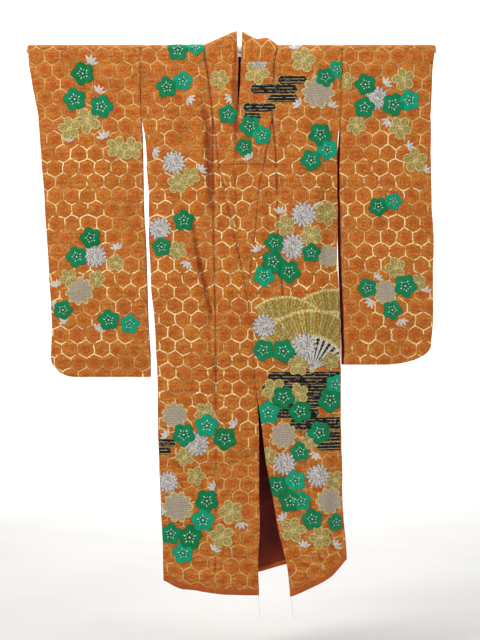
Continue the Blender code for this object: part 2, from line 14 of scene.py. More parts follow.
import bpy
import numpy as np
from bpy.props import FloatProperty, FloatVectorProperty, PointerProperty
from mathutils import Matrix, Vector

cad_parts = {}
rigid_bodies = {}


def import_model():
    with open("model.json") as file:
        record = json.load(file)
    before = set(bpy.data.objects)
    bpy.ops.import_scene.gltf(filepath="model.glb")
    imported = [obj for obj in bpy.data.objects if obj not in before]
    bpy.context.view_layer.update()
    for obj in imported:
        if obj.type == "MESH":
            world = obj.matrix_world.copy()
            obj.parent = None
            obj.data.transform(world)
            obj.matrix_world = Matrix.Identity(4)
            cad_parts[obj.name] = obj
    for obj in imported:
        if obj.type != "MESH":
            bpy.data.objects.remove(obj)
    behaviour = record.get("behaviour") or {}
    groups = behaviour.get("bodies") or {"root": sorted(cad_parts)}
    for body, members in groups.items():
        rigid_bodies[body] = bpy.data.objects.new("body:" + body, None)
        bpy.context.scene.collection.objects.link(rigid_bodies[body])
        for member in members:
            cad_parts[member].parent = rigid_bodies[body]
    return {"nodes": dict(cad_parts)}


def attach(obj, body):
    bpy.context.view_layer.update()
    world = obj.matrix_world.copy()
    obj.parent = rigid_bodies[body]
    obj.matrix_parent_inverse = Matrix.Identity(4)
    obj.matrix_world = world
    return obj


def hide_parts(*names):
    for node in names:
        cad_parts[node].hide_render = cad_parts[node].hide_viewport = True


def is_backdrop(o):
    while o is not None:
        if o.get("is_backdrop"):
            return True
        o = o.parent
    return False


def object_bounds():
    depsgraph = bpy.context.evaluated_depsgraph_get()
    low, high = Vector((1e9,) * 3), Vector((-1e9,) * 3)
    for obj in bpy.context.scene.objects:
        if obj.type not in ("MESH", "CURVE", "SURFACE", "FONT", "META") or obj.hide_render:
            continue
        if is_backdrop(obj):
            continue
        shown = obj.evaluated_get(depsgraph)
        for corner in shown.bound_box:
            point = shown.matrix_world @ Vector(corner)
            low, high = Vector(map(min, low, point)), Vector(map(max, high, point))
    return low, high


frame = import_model()
CAD_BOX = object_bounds()

bl_info = {
    "name": "Kimono on a rod",
    "version": (1, 0, 0),
    "blender": (4, 5, 0),
    "location": "View3D > Sidebar > Kimono",
    "description": "Builds the cloth, patterns and finishes of a long-sleeved kimono hung on a rod",
    "category": "Add Mesh",
}

MM = 0.001
BODY = "root"

# Cloth and gaps, as in the part.
WALL = 2.0
COLLAR_WALL = 1.3
OVER_COLLAR_WALL = 1.2
LINING_WALL = 1.0
SEAM_GAP = 0.3
# Sewn edges are this close in the visible cloth, where the part's solids keep a gap.
SEWN_GAP = 0.04
SEAM_DEPTH = 2.5
SLEEVE_EDGE_DEPTH = 1.5
ROD_RADIUS = 12.0
BEND_RADIUS = (ROD_RADIUS + SEAM_GAP) / math.cos(math.pi / 12)
BEND_LENGTH = BEND_RADIUS * math.pi / 2
CENTRE_BACK = 14.0
BACK_NECK_DROP = 20.0
SIDE_SEAM_TOP = 358
HEM_LEVEL = 1690
STRETCH_FROM = 745
LINING_TOP = 1060
LAYER_LIFT = 6.0
ROLL_HEIGHT = 15.0
ROLL_DEPTH = 9.0
ROLL_DEPTH_AT_SIDE = 5.6
CUFF_END = 215
OVER_COLLAR_END = 358
COLLAR_END = 745
THREAD_DIAMETER = 1.2
THREAD_STEPS = 18
SIDE_ROUNDING = 70.0
BOTTOM_ROUNDING = 90.0
# How much further up a visible hem roll reaches, so that no light shows between it and the cloth.
ROLL_REACH = 1.1
ROLL_SIDES = 14
ROD_STEPS = 15
COLLAR_TOP = 36
# Stands for a line that isn't there, and for a collar row far from the strip's lower end.
NO_LINE = 9999
NO_END = 99

# Creases wander by this much, and one this deep has the full shade.
CREASE_WANDER = 5
FULL_SHADE_DEPTH = 10

# Patterns keep this far from the cloth's edges, and their own edges go this far down into the silk.
EDGE_MARGIN = 0.8
SUNK = 0.4
# Between the rod's axis and this drop, patterns pass from the bend to the hanging cloth.
BEND_END = 6.0
FRONT_NECK_LIMIT = 40
# How high each kind of pattern lies, and how much each fan under it lifts it.
LIFTS = {"leaf": 0.2, "woven": 0.4, "gold": 0.6, "silver": 0.8, "plum": 1.2, "teal": 1.1}
FAN_LIFT = 0.95
FAN_REACH = 34
FAN_SWEEP = 128.0
FAN_PAPER_SWEEP = FAN_SWEEP + 6
FAN_RIBS = 12
PETAL_EDGE = 0.93575
PATTERN_SEED = 968

STITCH_STEP = 8.0
STITCH_SIZE = 1.5
STITCH_LIFT = 0.05
STITCH_FROM_SEAM = 3.0
STITCH_FROM_HEM = 4

FrontLevel = namedtuple("FrontLevel", "level side seam collar free")
RIGHT_FRONT = [
    FrontLevel(0, -301, -105, None, -3),
    FrontLevel(40, -301, -99, None, 1),
    FrontLevel(80, -301, -93, None, 0),
    FrontLevel(120, -301, -88, None, -1),
    FrontLevel(160, -300, -83, None, -1),
    FrontLevel(215, -298, -78, -78, 0),
    FrontLevel(232, -295, -78, -76, 1),
    FrontLevel(290, -286, -78, -68, 3),
    FrontLevel(358, -282, -78, -59, 7),
    FrontLevel(430, -276, -77, -45, 12),
    FrontLevel(510, -274, -76, -27, 19),
    FrontLevel(590, -274, -75, -9, 27),
    FrontLevel(670, -270, -73, 14, 34),
    FrontLevel(745, -267, -72, 35, 40),
    FrontLevel(840, -257, -70, None, 48),
    FrontLevel(950, -252, -69, None, 55),
    FrontLevel(1060, -247, -68, None, 58),
    FrontLevel(1170, -246, -68, None, 64),
    FrontLevel(1280, -244, -68, None, 65),
    FrontLevel(1390, -240, -68, None, 65),
    FrontLevel(1500, -235, -69, None, 67),
    FrontLevel(1600, -231, -70, None, 62),
    FrontLevel(1690, -229, -71, None, 65),
]
LEFT_FRONT = [
    FrontLevel(0, 321, 121, None, 12),
    FrontLevel(40, 321, 112, None, 9),
    FrontLevel(80, 321, 111, None, 8),
    FrontLevel(120, 320, 110, None, 6),
    FrontLevel(160, 319, 108, None, 2),
    FrontLevel(215, 316, 106, 106, -3),
    FrontLevel(232, 314, 108, 103, -4),
    FrontLevel(290, 309, 114, 93, -8),
    FrontLevel(358, 306, 118, 81, -8),
    FrontLevel(430, 305, 120, 66, -6),
    FrontLevel(510, 307, 123, 59, -3),
    FrontLevel(590, 305, 127, 52, 1),
    FrontLevel(670, 306, 132, 42, 11),
    FrontLevel(745, 311, 137, 31, 26),
    FrontLevel(840, 315, 145, None, 39),
    FrontLevel(950, 316, 157, None, 49),
    FrontLevel(1060, 317, 173, None, 57),
    FrontLevel(1170, 317, 189, None, 73),
    FrontLevel(1280, 319, 206, None, 86),
    FrontLevel(1390, 321, 218, None, 107),
    FrontLevel(1500, 323, 231, None, 126),
    FrontLevel(1600, 329, 248, None, 150),
    FrontLevel(1690, 335, 272, None, 160),
]
SleeveLevel = namedtuple("SleeveLevel", "level inner outer reach")
RIGHT_SLEEVE = [
    SleeveLevel(0, -301, -651, 0),
    SleeveLevel(40, -301, -647, 0),
    SleeveLevel(80, -301, -642, 0),
    SleeveLevel(120, -301, -636, 0),
    SleeveLevel(160, -300, -628, 0),
    SleeveLevel(215, -298, -618, 0),
    SleeveLevel(290, -294, -612, 0),
    SleeveLevel(358, -293, -606, 0),
    SleeveLevel(430, -292, -600, 0),
    SleeveLevel(510, -290, -595, 0),
    SleeveLevel(590, -285, -590, 0),
    SleeveLevel(670, -282, -585, 0),
    SleeveLevel(745, -280, -580, 0),
    SleeveLevel(840, -277, -575, 0),
    SleeveLevel(953, -270, -578, 0),
]
LEFT_SLEEVE = [
    SleeveLevel(0, 321, 611, 0),
    SleeveLevel(40, 321, 604, 0),
    SleeveLevel(80, 321, 601, 0),
    SleeveLevel(120, 320, 600, 0),
    SleeveLevel(160, 319, 599, 0),
    SleeveLevel(215, 316, 597, 0),
    SleeveLevel(290, 315, 596, 4),
    SleeveLevel(358, 314, 596, 8),
    SleeveLevel(430, 314, 597, 8),
    SleeveLevel(510, 316, 600, 8),
    SleeveLevel(590, 317, 604, 8),
    SleeveLevel(670, 319, 603, 8),
    SleeveLevel(745, 322, 602, 8),
    SleeveLevel(840, 326, 602, 8),
    SleeveLevel(915, 328, 597, 8),
]
Corner = namedtuple("Corner", "width height")
Hem = namedtuple("Hem", "x drop")
RIGHT_HEM = [Hem(-229, 1645), Hem(-192, 1663), Hem(-127, 1673), Hem(-74, 1682), Hem(70, 1688)]
LEFT_HEM = [
    Hem(150, 1695),
    Hem(189, 1682),
    Hem(229, 1663),
    Hem(267, 1644),
    Hem(294, 1626),
    Hem(313, 1607),
    Hem(335, 1581),
]
BACK_HEM = [Hem(-229, 1645), Hem(14, 1630), Hem(65, 1622), Hem(152, 1598), Hem(335, 1581)]
Depth = namedtuple("Depth", "drop front back edge")
DEPTHS = [
    Depth(0, BEND_RADIUS, BEND_RADIUS, BEND_RADIUS),
    Depth(80, 14, 13, 11),
    Depth(215, 16, 14, 8),
    Depth(358, 17, 15, 3),
    Depth(745, 20, 16, SEAM_DEPTH),
    Depth(1690, 26, 20, SEAM_DEPTH),
]
SleeveDepth = namedtuple("SleeveDepth", "drop inner middle outer")
SLEEVE_DEPTHS = [
    SleeveDepth(0, BEND_RADIUS, BEND_RADIUS, BEND_RADIUS),
    SleeveDepth(80, 11, 12, 8.5),
    SleeveDepth(215, 8, 11, SLEEVE_EDGE_DEPTH),
    SleeveDepth(290, 8.5, 10.5, SLEEVE_EDGE_DEPTH),
    SleeveDepth(590, 7.5, 10, SLEEVE_EDGE_DEPTH),
    SleeveDepth(900, 7, 10, SLEEVE_EDGE_DEPTH),
]

# Folds stand out where height is above 0, and are troughs where it is below. The first eight of the front
# and the first four of the back are the part's own; the narrower ones are creases.
Fold = namedtuple("Fold", "top_x top_drop low_x low_drop width height")
FRONT_FOLDS = [
    Fold(-125, 60, -112, 560, 30, 7),
    Fold(-205, 40, -190, 700, 42, 4),
    Fold(-165, 480, -96, 960, 30, 7),
    Fold(-130, 900, -140, 1660, 50, 5),
    Fold(-20, 900, -15, 1660, 36, 4),
    Fold(180, 50, 186, 620, 44, 5),
    Fold(250, 380, 236, 1100, 42, 5),
    Fold(255, 1000, 280, 1660, 34, 5),
]
FRONT_CREASES = [
    Fold(-104, 150, -80, 520, 11, -13),
    Fold(-150, 520, -70, 860, 9, -13),
    Fold(-92, 760, -66, 1130, 8, -5),
    Fold(-128, 560, -62, 900, 8, 4),
    Fold(-232, 90, -222, 380, 9, -3),
    Fold(-262, 240, -246, 560, 8, -3),
    Fold(-178, 80, -172, 300, 8, -3),
    Fold(-36, 560, -8, 900, 9, -3.5),
    Fold(-214, 900, -205, 1290, 9, -3),
    Fold(-168, 1180, -176, 1640, 9, -3.5),
    Fold(-104, 1050, -110, 1500, 8, -3),
    Fold(20, 980, 34, 1560, 9, -3),
    Fold(-44, 1240, -40, 1660, 7, -2.5),
    Fold(60, 60, 42, 330, 9, -3),
    Fold(140, 60, 146, 420, 8, -3),
    Fold(226, 60, 232, 330, 9, -3.5),
    Fold(286, 300, 272, 690, 9, -3.5),
    Fold(96, 380, 88, 700, 9, -4),
    Fold(168, 520, 176, 1010, 9, -3.5),
    Fold(222, 760, 218, 1220, 9, -3),
    Fold(290, 960, 296, 1400, 8, -3),
    Fold(120, 980, 150, 1420, 9, -3),
    Fold(214, 1180, 262, 1620, 8, -3),
]
BACK_FOLDS = [
    Fold(-150, 60, -158, 1600, 60, 6),
    Fold(-60, 200, -66, 1600, 46, 5),
    Fold(90, 120, 84, 1600, 46, 5),
    Fold(200, 60, 216, 1560, 60, 6),
]
BACK_CREASES = [
    Fold(-236, 80, -222, 500, 9, -3),
    Fold(-110, 90, -104, 640, 9, -4),
    Fold(-20, 160, -26, 520, 8, -3),
    Fold(52, 120, 60, 760, 9, -3.5),
    Fold(150, 70, 142, 620, 9, -3.5),
    Fold(258, 90, 244, 720, 9, -3.5),
    Fold(-196, 640, -206, 1240, 9, -3.5),
    Fold(-108, 820, -96, 1500, 9, -3.5),
    Fold(-16, 900, -6, 1560, 8, -3),
    Fold(128, 760, 140, 1380, 9, -3.5),
    Fold(246, 860, 262, 1480, 9, -3.5),
]
SLEEVE_CREASES = [
    Fold(-560, 60, -548, 420, 10, -3),
    Fold(-470, 50, -478, 360, 10, -3),
    Fold(-370, 60, -376, 620, 10, -3.5),
    Fold(-322, 380, -330, 820, 9, -3),
    Fold(-520, 520, -506, 960, 10, -3),
    Fold(-430, 560, -424, 980, 11, -3),
    Fold(360, 60, 352, 560, 9, -3),
    Fold(452, 50, 446, 400, 10, -3),
    Fold(548, 60, 540, 460, 10, -3),
    Fold(380, 520, 392, 900, 10, -3.5),
    Fold(486, 540, 480, 930, 10, -3),
    Fold(558, 420, 566, 800, 9, -3),
]
# Shade beside the gap, where the lower front's collar edge lies behind the upper one.
COLLAR_SHADES = [Fold(-12, -30, -7, 345, 9, -13)]

Crest = namedtuple("Crest", "across height")
BackNeck = namedtuple("BackNeck", "along x y drop")
ThreadPoint = namedtuple("ThreadPoint", "x y below")

Half = namedtuple("Half", "name side over fronts hem sleeves corner crest neck thread")
HALVES = [
    Half(
        "right",
        -1,
        False,
        RIGHT_FRONT,
        RIGHT_HEM,
        RIGHT_SLEEVE,
        Corner(75, 60),
        [Crest(0, BEND_RADIUS), Crest(0.5, 35), Crest(0.85, 51), Crest(1, 56)],
        [
            BackNeck(0, -8, BEND_RADIUS, -43),
            BackNeck(0.3, -42, 26, -32),
            BackNeck(0.6, -40, 42, -24),
            BackNeck(1, CENTRE_BACK, 54, -16),
        ],
        [
            ThreadPoint(62.5, -27.5, 0),
            ThreadPoint(62.7, -27.5, 8),
            ThreadPoint(64.2, -28, 24),
            ThreadPoint(66.2, -28, 44),
            ThreadPoint(66.0, -27, 66),
        ],
    ),
    Half(
        "left",
        1,
        True,
        LEFT_FRONT,
        LEFT_HEM,
        LEFT_SLEEVE,
        Corner(148, 60),
        [Crest(0, BEND_RADIUS), Crest(0.25, 33), Crest(0.6, 32), Crest(0.8, 42), Crest(1, 55)],
        [
            BackNeck(0, 14, BEND_RADIUS, -42),
            BackNeck(0.3, 58, 26, -30),
            BackNeck(0.6, 62, 42, -23),
            BackNeck(1, CENTRE_BACK, 54, -16),
        ],
        [
            ThreadPoint(164.0, -27.5, 0),
            ThreadPoint(164.5, -27.5, 8),
            ThreadPoint(167.5, -28, 24),
            ThreadPoint(167.0, -28, 44),
            ThreadPoint(168.5, -27, 60),
            ThreadPoint(172.5, -26, 70),
            ThreadPoint(177.5, -25, 68),
        ],
    ),
]
RIGHT, LEFT = HALVES

FRONT = np.array((0.0, -1.0, 0.0))
BACK = np.array((0.0, 1.0, 0.0))
DOWN = np.array((0.0, 0.0, -1.0))


def mix(first, second, share):
    return first + (second - first) * share


def smooth(value, low, high):
    """0 below low, 1 above high, and a soft step between."""
    share = np.clip((value - low) / (high - low), 0, 1)
    return share * share * (3 - 2 * share)


class Track:
    """A smooth line through one column of a table, read at any value of its key column."""

    def __init__(self, table, key, column):
        rows = [(getattr(row, key), getattr(row, column)) for row in table]
        self.at, self.values = np.array([row for row in rows if row[1] is not None], float).T
        self.slopes = np.gradient(self.values, self.at)

    def __call__(self, at):
        at = np.clip(at, self.at[0], self.at[-1])
        index = np.clip(np.searchsorted(self.at, at, side="right") - 1, 0, len(self.at) - 2)
        width = self.at[index + 1] - self.at[index]
        t = (at - self.at[index]) / width
        start, end = self.values[index], self.values[index + 1]
        bend = (t**3 - 2 * t**2 + t) * self.slopes[index] + (t**3 - t**2) * self.slopes[index + 1]
        return mix(start, end, t * t * (3 - 2 * t)) + width * bend


@functools.lru_cache(maxsize=None)
def random_grid(seed):
    return np.random.default_rng(seed).uniform(-1, 1, (128, 128))


def ripple(across, down, size, seed):
    """Soft seeded noise from -1 to 1, with waves of about the given size."""
    grid = random_grid(seed)
    u, v = np.asarray(across) / size + 1000, np.asarray(down) / size + 1000
    i, j = np.floor(u).astype(int), np.floor(v).astype(int)
    s, t = smooth(u - i, 0, 1), smooth(v - j, 0, 1)
    i, j, i2, j2 = i % 128, j % 128, (i + 1) % 128, (j + 1) % 128
    return mix(mix(grid[i, j], grid[i2, j], s), mix(grid[i, j2], grid[i2, j2], s), t)


LINES = {
    half.name: {
        column: Track(half.fronts, "level", column) for column in ("side", "seam", "collar", "free")
    }
    for half in HALVES
}
SLEEVE_LINES = {
    half.name: {column: Track(half.sleeves, "level", column) for column in ("inner", "outer", "reach")}
    for half in HALVES
}
HEMS = {half.name: Track(half.hem, "x", "drop") for half in HALVES}
BACK_HEM_LINE = Track(BACK_HEM, "x", "drop")
DEPTH_LINES = {column: Track(DEPTHS, "drop", column) for column in ("front", "back", "edge")}
SLEEVE_DEPTH_LINES = {
    column: Track(SLEEVE_DEPTHS, "drop", column) for column in ("inner", "middle", "outer")
}


def folds_at(folds, x, drop, wander=0.0):
    """The height of all folds at each place. Creases wander from side to side as they go down."""
    height = np.zeros(np.broadcast(x, drop).shape)
    for number, fold in enumerate(folds):
        share = (drop - fold.top_drop) / (fold.low_drop - fold.top_drop)
        inside = np.clip(share, 0, 1)
        shift = wander * ripple(number * 7.3, drop, 90, 41 + number)
        away = (x - mix(fold.top_x, fold.low_x, inside) - shift) / fold.width
        height = height + fold.height * np.exp(-away * away) * np.sqrt(np.sin(np.pi * inside))
    return height


def puffs(x, drop, seed, depth):
    """The soft unevenness of lined silk, with short level puckers that grow towards the hem."""
    broad = 1.3 * ripple(x, drop, 75, seed) + 0.7 * ripple(x, drop, 30, seed + 1)
    level_waves = ripple(x / 3.2, drop + 0.12 * x, 15, seed + 2) * mix(0.4, 1.35, smooth(drop, 250, 1200))
    return depth * (broad + level_waves)


def seam_marks(x, drop, lines):
    """A shallow valley along each seam, with puckers beside it."""
    marks = np.zeros(np.broadcast(x, drop).shape)
    for number, line in enumerate(lines):
        away = np.abs(x - line)
        marks = marks - 1.8 * np.exp(-((away / 4.5) ** 2))
        marks = marks + 0.7 * ripple(number * 5.1, drop, 9, 71 + number) * np.exp(-away / 14)
    return marks


class Shape:
    """How deep the creases and puffs of this kimono are. The operators set it from the panel's values."""

    crease = 1.0
    puff = 1.0
    cell = 6.0


def wobble(level, seed):
    """The small unevenness of an edge."""
    return 1.1 * ripple(seed * 3.7, level, 45, seed)


def side_at(half, drop):
    return LINES[half.name]["side"](drop) + wobble(drop, 5 + half.side)


def outer_at(half, drop):
    return SLEEVE_LINES[half.name]["outer"](drop) + wobble(drop, 15 + half.side)


def rounded_side(x, drop):
    """0 at a side seam and 1 well inside the panel."""
    return smooth(np.minimum(x - side_at(RIGHT, drop), side_at(LEFT, drop) - x), 0, SIDE_ROUNDING)


def sleeve_seam(half, drop):
    """The armhole seam, and far away below it."""
    return np.where(drop < CUFF_END, side_at(half, drop), NO_LINE)


def front_depth(x, drop, half):
    """The front's inner face. The upper front stands over the lower one by the layer's lift."""
    full = DEPTH_LINES["front"](drop) + folds_at(FRONT_FOLDS, x, drop)
    creases = Shape.crease * folds_at(FRONT_CREASES, x, drop, CREASE_WANDER)
    full = full + creases + puffs(x, drop, 21, Shape.puff)
    depth = mix(DEPTH_LINES["edge"](drop), full, rounded_side(x, drop))
    lines = LINES[half.name]
    collar = np.where((drop > CUFF_END) & (drop < COLLAR_END), lines["collar"](drop), NO_LINE)
    depth = depth + seam_marks(x, drop, [lines["seam"](drop), collar, sleeve_seam(half, drop)])
    if half.over:
        depth = depth + LAYER_LIFT * smooth(drop, 60, 160) * (1 - smooth(x, 80, 170))
    return depth


def back_depth(x, drop, half):
    """The back's inner face."""
    full = DEPTH_LINES["back"](drop) + folds_at(BACK_FOLDS, x, drop)
    creases = Shape.crease * folds_at(BACK_CREASES, x, drop, CREASE_WANDER)
    full = full + creases + puffs(x, drop, 31, Shape.puff)
    depth = mix(DEPTH_LINES["edge"](drop), full, rounded_side(x, drop))
    return depth + seam_marks(x, drop, [CENTRE_BACK, sleeve_seam(half, drop)])


def sleeve_bottom(half):
    return half.sleeves[-1].level + half.corner.height


def sleeve_depth(x, drop, half, way):
    """The sleeve's inner face, on its front or its back layer."""
    inner, outer = SLEEVE_LINES[half.name]["inner"](drop), outer_at(half, drop)
    share = np.clip((x - inner) / (outer - inner), 0, 1)
    near, middle, far = (SLEEVE_DEPTH_LINES[key](drop) for key in ("inner", "middle", "outer"))
    depth = mix(near, middle, smooth(share, 0, 0.3))
    seed = 51 if way[1] < 0 else 61
    relief = Shape.crease * folds_at(SLEEVE_CREASES, x + (way[1] > 0) * 17, drop, 6)
    relief = relief + puffs(x, drop, seed, Shape.puff * 0.9)
    depth = depth + relief * smooth(drop, 0, 60)
    depth = mix(depth, far, smooth(share, 0.65, 1))
    closing = np.clip((sleeve_bottom(half) - drop) / BOTTOM_ROUNDING, 0, 1)
    depth = mix(SLEEVE_EDGE_DEPTH, depth, np.sin(closing * np.pi / 2))
    return depth + seam_marks(x, drop, [sleeve_seam(half, drop)])


def drop_of(level, hem, x):
    """Levels below STRETCH_FROM are spread to end at the hem, above its roll."""
    end = hem(x) - ROLL_HEIGHT - SEAM_GAP
    stretched = STRETCH_FROM + (level - STRETCH_FROM) * (end - STRETCH_FROM) / (HEM_LEVEL - STRETCH_FROM)
    return np.where(level <= STRETCH_FROM, level, stretched)


def front_places(x, level, half):
    drop = drop_of(level, HEMS[half.name], x)
    return np.stack([x, -front_depth(x, drop, half), -drop], axis=1)


def back_places(x, level, half):
    drop = drop_of(level, BACK_HEM_LINE, x)
    return np.stack([x, back_depth(x, drop, half), -drop], axis=1)


def spread(length, cell, fine=(0.0, 1.5, 4.0, 8.0)):
    """Shares from 0 to 1 along a length, closer together at both ends."""
    ends = np.array(fine) / length
    steps = max(int(round(length * (1 - 2 * ends[-1]) / cell)), 2)
    middle = np.linspace(ends[-1], 1 - ends[-1], steps + 1)
    return np.concatenate([ends[:-1], middle, 1 - ends[-2::-1]])


def levels_between(top, low):
    return mix(top, low, spread(low - top, Shape.cell))


def rounded_edge(distance, wall):
    """A wall's thickness near a sewn or cut edge, which is rounded off."""
    return wall * (0.4 + 0.6 * (1 - np.exp(-((distance / 2.4) ** 2))))


class Cloth:
    """A wall of cloth from rows of points on its inner face."""

    def __init__(self):
        self.places = []
        self.ways = []
        self.thickness = []
        self.flat = []
        self.strips = []

    def row(self, places, ways, thickness, flat):
        """Adds a row and returns its number. Places are NaN where the cloth is cut away."""
        count = len(places)
        self.places.append(places)
        self.ways.append(np.broadcast_to(ways, (count, 3)))
        self.thickness.append(np.broadcast_to(thickness, count))
        self.flat.append(flat)
        return len(self.places) - 1

    def strip(self, first, second):
        """Joins two lines of points, each given as (row, column) pairs."""
        self.strips.append((first, second))

    def numeric_ways(self, rows):
        """Sets the outward ways of these rows to the surface's own, on the side they already face."""
        grid = np.array(self.places)
        along, across = np.gradient(grid, axis=0), np.gradient(grid, axis=1)
        normals = np.cross(along, across)
        normals /= np.linalg.norm(normals, axis=2, keepdims=True)
        for row in rows:
            facing = np.sum(normals[row] * self.ways[row], axis=1)
            self.ways[row] = normals[row] * np.sign(facing.sum())

    def faces(self):
        """All faces of the middle sheet, turned outwards."""
        grid = np.arange(self.count).reshape(self.shape)
        quads = [np.stack([grid[:-1, :-1], grid[:-1, 1:], grid[1:, 1:], grid[1:, :-1]], -1).reshape(-1, 4)]
        for first, second in self.strips:
            a = np.array([grid[pair] for pair in first])
            b = np.array([grid[pair] for pair in second])
            quads.append(np.stack([a[:-1], a[1:], b[1:], b[:-1]], -1))
        quads = np.concatenate(quads)
        quads = quads[~np.isnan(self.points[quads, 0]).any(axis=1)]
        corners = self.points[quads]
        normals = np.cross(corners[:, 2] - corners[:, 0], corners[:, 3] - corners[:, 1])
        inward = np.sum(normals * self.outward[quads].sum(axis=1), axis=1) < 0
        quads[inward] = quads[inward, ::-1]
        return quads

    def build(self, name, finishes, lifted=0.0, creases=((), ()), shadow_line_drop=None):
        """Makes the closed wall, its inner face lifted off the points by the given distance.

        Its fold attribute says how deep in a crease of the front or the back each point lies, and so how much
        painted shade the silk gets there. The last argument, when given, is the drop of a thin line of full
        painted shadow across the front.
        """
        stacked = np.array(self.places)
        self.shape = stacked.shape[:2]
        self.count = self.shape[0] * self.shape[1]
        self.points = stacked.reshape(-1, 3)
        self.outward = np.array(self.ways).reshape(-1, 3)
        thickness = np.array(self.thickness).reshape(-1, 1)
        flat = np.array(self.flat).reshape(-1, 2)
        quads = self.faces()
        used = np.unique(quads)
        renumbered = np.zeros(self.count, int)
        renumbered[used] = np.arange(len(used))
        quads = renumbered[quads]
        points, outward = self.points[used], self.outward[used]
        inner = points + outward * lifted
        outer = points + outward * (lifted + thickness[used])
        total = len(used)
        edges = np.stack([quads, np.roll(quads, -1, axis=1)], -1).reshape(-1, 2)
        _, index, counts = np.unique(np.sort(edges, axis=1), axis=0, return_index=True, return_counts=True)
        a, b = edges[index[counts == 1]].T
        rim = np.stack([b + total, a + total, a, b], -1)
        faces = np.concatenate([quads + total, rim, quads[:, ::-1]])
        mesh = bpy.data.meshes.new(name)
        mesh.from_pydata((np.concatenate([inner, outer]) * MM).tolist(), [], faces.tolist())
        layer = mesh.uv_layers.new(name="cloth")
        corners = np.zeros(len(mesh.loops), int)
        mesh.loops.foreach_get("vertex_index", corners)
        flat = np.concatenate([flat[used], flat[used]])
        layer.data.foreach_set("uv", (flat[corners] * MM).astype(np.float32).ravel())
        x, drop, front = points[:, 0], -points[:, 2], points[:, 1] < 0
        # Painted shade in the creases: the deeper a trough of the given tables, the more the silk is
        # darkened.
        depths = [-folds_at(table, x, drop, CREASE_WANDER) / FULL_SHADE_DEPTH for table in creases]
        fold = np.clip(np.where(front, *depths), 0, 1)
        # A thin line of painted shadow across the front, where the over-collar ends.
        if shadow_line_drop is not None:
            fold = np.where(front & (np.abs(drop - shadow_line_drop) < 2), 1.0, fold)
        shade = mesh.attributes.new("fold", "FLOAT", "POINT")
        shade.data.foreach_set("value", np.concatenate([fold, fold]).astype(np.float32))
        inside = np.zeros(len(faces), int)
        inside[-len(quads) :] = 1
        mesh.polygons.foreach_set("material_index", inside.astype(np.int32))
        mesh.shade_smooth()
        mesh.set_sharp_from_angle(angle=math.radians(50))
        return add_piece(name, mesh, finishes)


def add_piece(name, data, finishes):
    """Links a piece, which rides on the one body, with its finishes."""
    obj = bpy.data.objects.new(name, data)
    bpy.context.scene.collection.objects.link(obj)
    for finish in finishes:
        data.materials.append(finish)
    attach(obj, BODY)
    return obj


def flat_places(across, down):
    return np.stack([across, np.broadcast_to(down, across.shape)], axis=1)


def over_rod(x):
    """Rows over the rod from back to front: their places, their way and how far they are from the top."""
    line = np.stack([x, np.zeros(len(x)), np.zeros(len(x))], axis=1)
    for angle in np.linspace(0, math.pi, ROD_STEPS):
        way = np.array((0, math.cos(angle), math.sin(angle)))
        yield line + way * BEND_RADIUS, way, BEND_RADIUS * abs(angle - math.pi / 2)


def body_panel(half, finishes):
    """One length of cloth from the back hem over the shoulder to the front hem, closed at its side seam."""
    cloth = Cloth()
    lines = LINES[half.name]
    neck = half.fronts[0].seam
    centre = CENTRE_BACK + half.side * SEWN_GAP / 2
    neck_shares = spread(abs(neck - centre), Shape.cell)[:-1]
    shares = spread(205, Shape.cell)
    side_way = np.array((float(half.side), 0.0, 0.0))
    cut = np.full((len(neck_shares), 3), np.nan)
    total = len(neck_shares) + len(shares)

    def ways(way, level):
        turned = np.tile(way, (total, 1))
        if level >= SIDE_SEAM_TOP:
            turned[-1] += side_way
        return turned

    def thickness(x, inner_edge, level):
        away = np.minimum(np.abs(x - inner_edge), HEM_LEVEL - level)
        if level < SIDE_SEAM_TOP:
            away = np.minimum(away, np.abs(x - x[-1]))
        return rounded_edge(away, WALL)

    levels = levels_between(BACK_NECK_DROP, HEM_LEVEL)
    backs = []
    for level in levels[::-1]:
        x = np.concatenate([mix(centre, neck, neck_shares), mix(neck, side_at(half, level), shares)])
        flat = flat_places((x - neck) * half.side, level + BEND_LENGTH)
        places = back_places(x, level, half)
        backs.append(cloth.row(places, ways(BACK, level), thickness(x, centre, level), flat))
    x = mix(neck, side_at(half, 0), shares)
    padded = np.concatenate([np.full(len(neck_shares), np.nan), x])
    inner_gap = np.nan_to_num(padded, nan=neck)
    for arc, way, down in over_rod(x):
        flat = flat_places((inner_gap - neck) * half.side, down)
        cloth.row(np.concatenate([cut, arc]), way, thickness(inner_gap, neck, 0), flat)
    fronts = []
    for level in levels_between(6, HEM_LEVEL):
        seam = lines["seam"](level)
        x = mix(seam, side_at(half, level), shares)
        places = np.concatenate([cut, front_places(x, level, half)])
        inner_gap = np.concatenate([np.full(len(neck_shares), seam), x])
        flat = flat_places((inner_gap - seam) * half.side, level + BEND_LENGTH)
        fronts.append((level, cloth.row(places, ways(FRONT, level), thickness(inner_gap, seam, level), flat)))
    closed_fronts = [(row, total - 1) for level, row in fronts if level >= SIDE_SEAM_TOP]
    closed_backs = [(row, total - 1) for level, row in zip(levels, backs[::-1]) if level >= SIDE_SEAM_TOP]
    cloth.strip(*matched(closed_fronts, closed_backs))
    obj = cloth.build(f"silk_body_{half.name}", finishes, creases=(FRONT_CREASES, BACK_CREASES))
    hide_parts(f"body_{half.name}")
    front_hem = cloth.places[fronts[-1][1]][len(neck_shares) :]
    back_hem = cloth.places[backs[0]]
    return obj, front_hem, back_hem


def matched(first, second):
    """Two lines of points, the longer one thinned evenly to as many points as the shorter one."""
    count = min(len(first), len(second))
    pick_first = np.linspace(0, len(first) - 1, count).round().astype(int)
    pick_second = np.linspace(0, len(second) - 1, count).round().astype(int)
    return [first[k] for k in pick_first], [second[k] for k in pick_second]


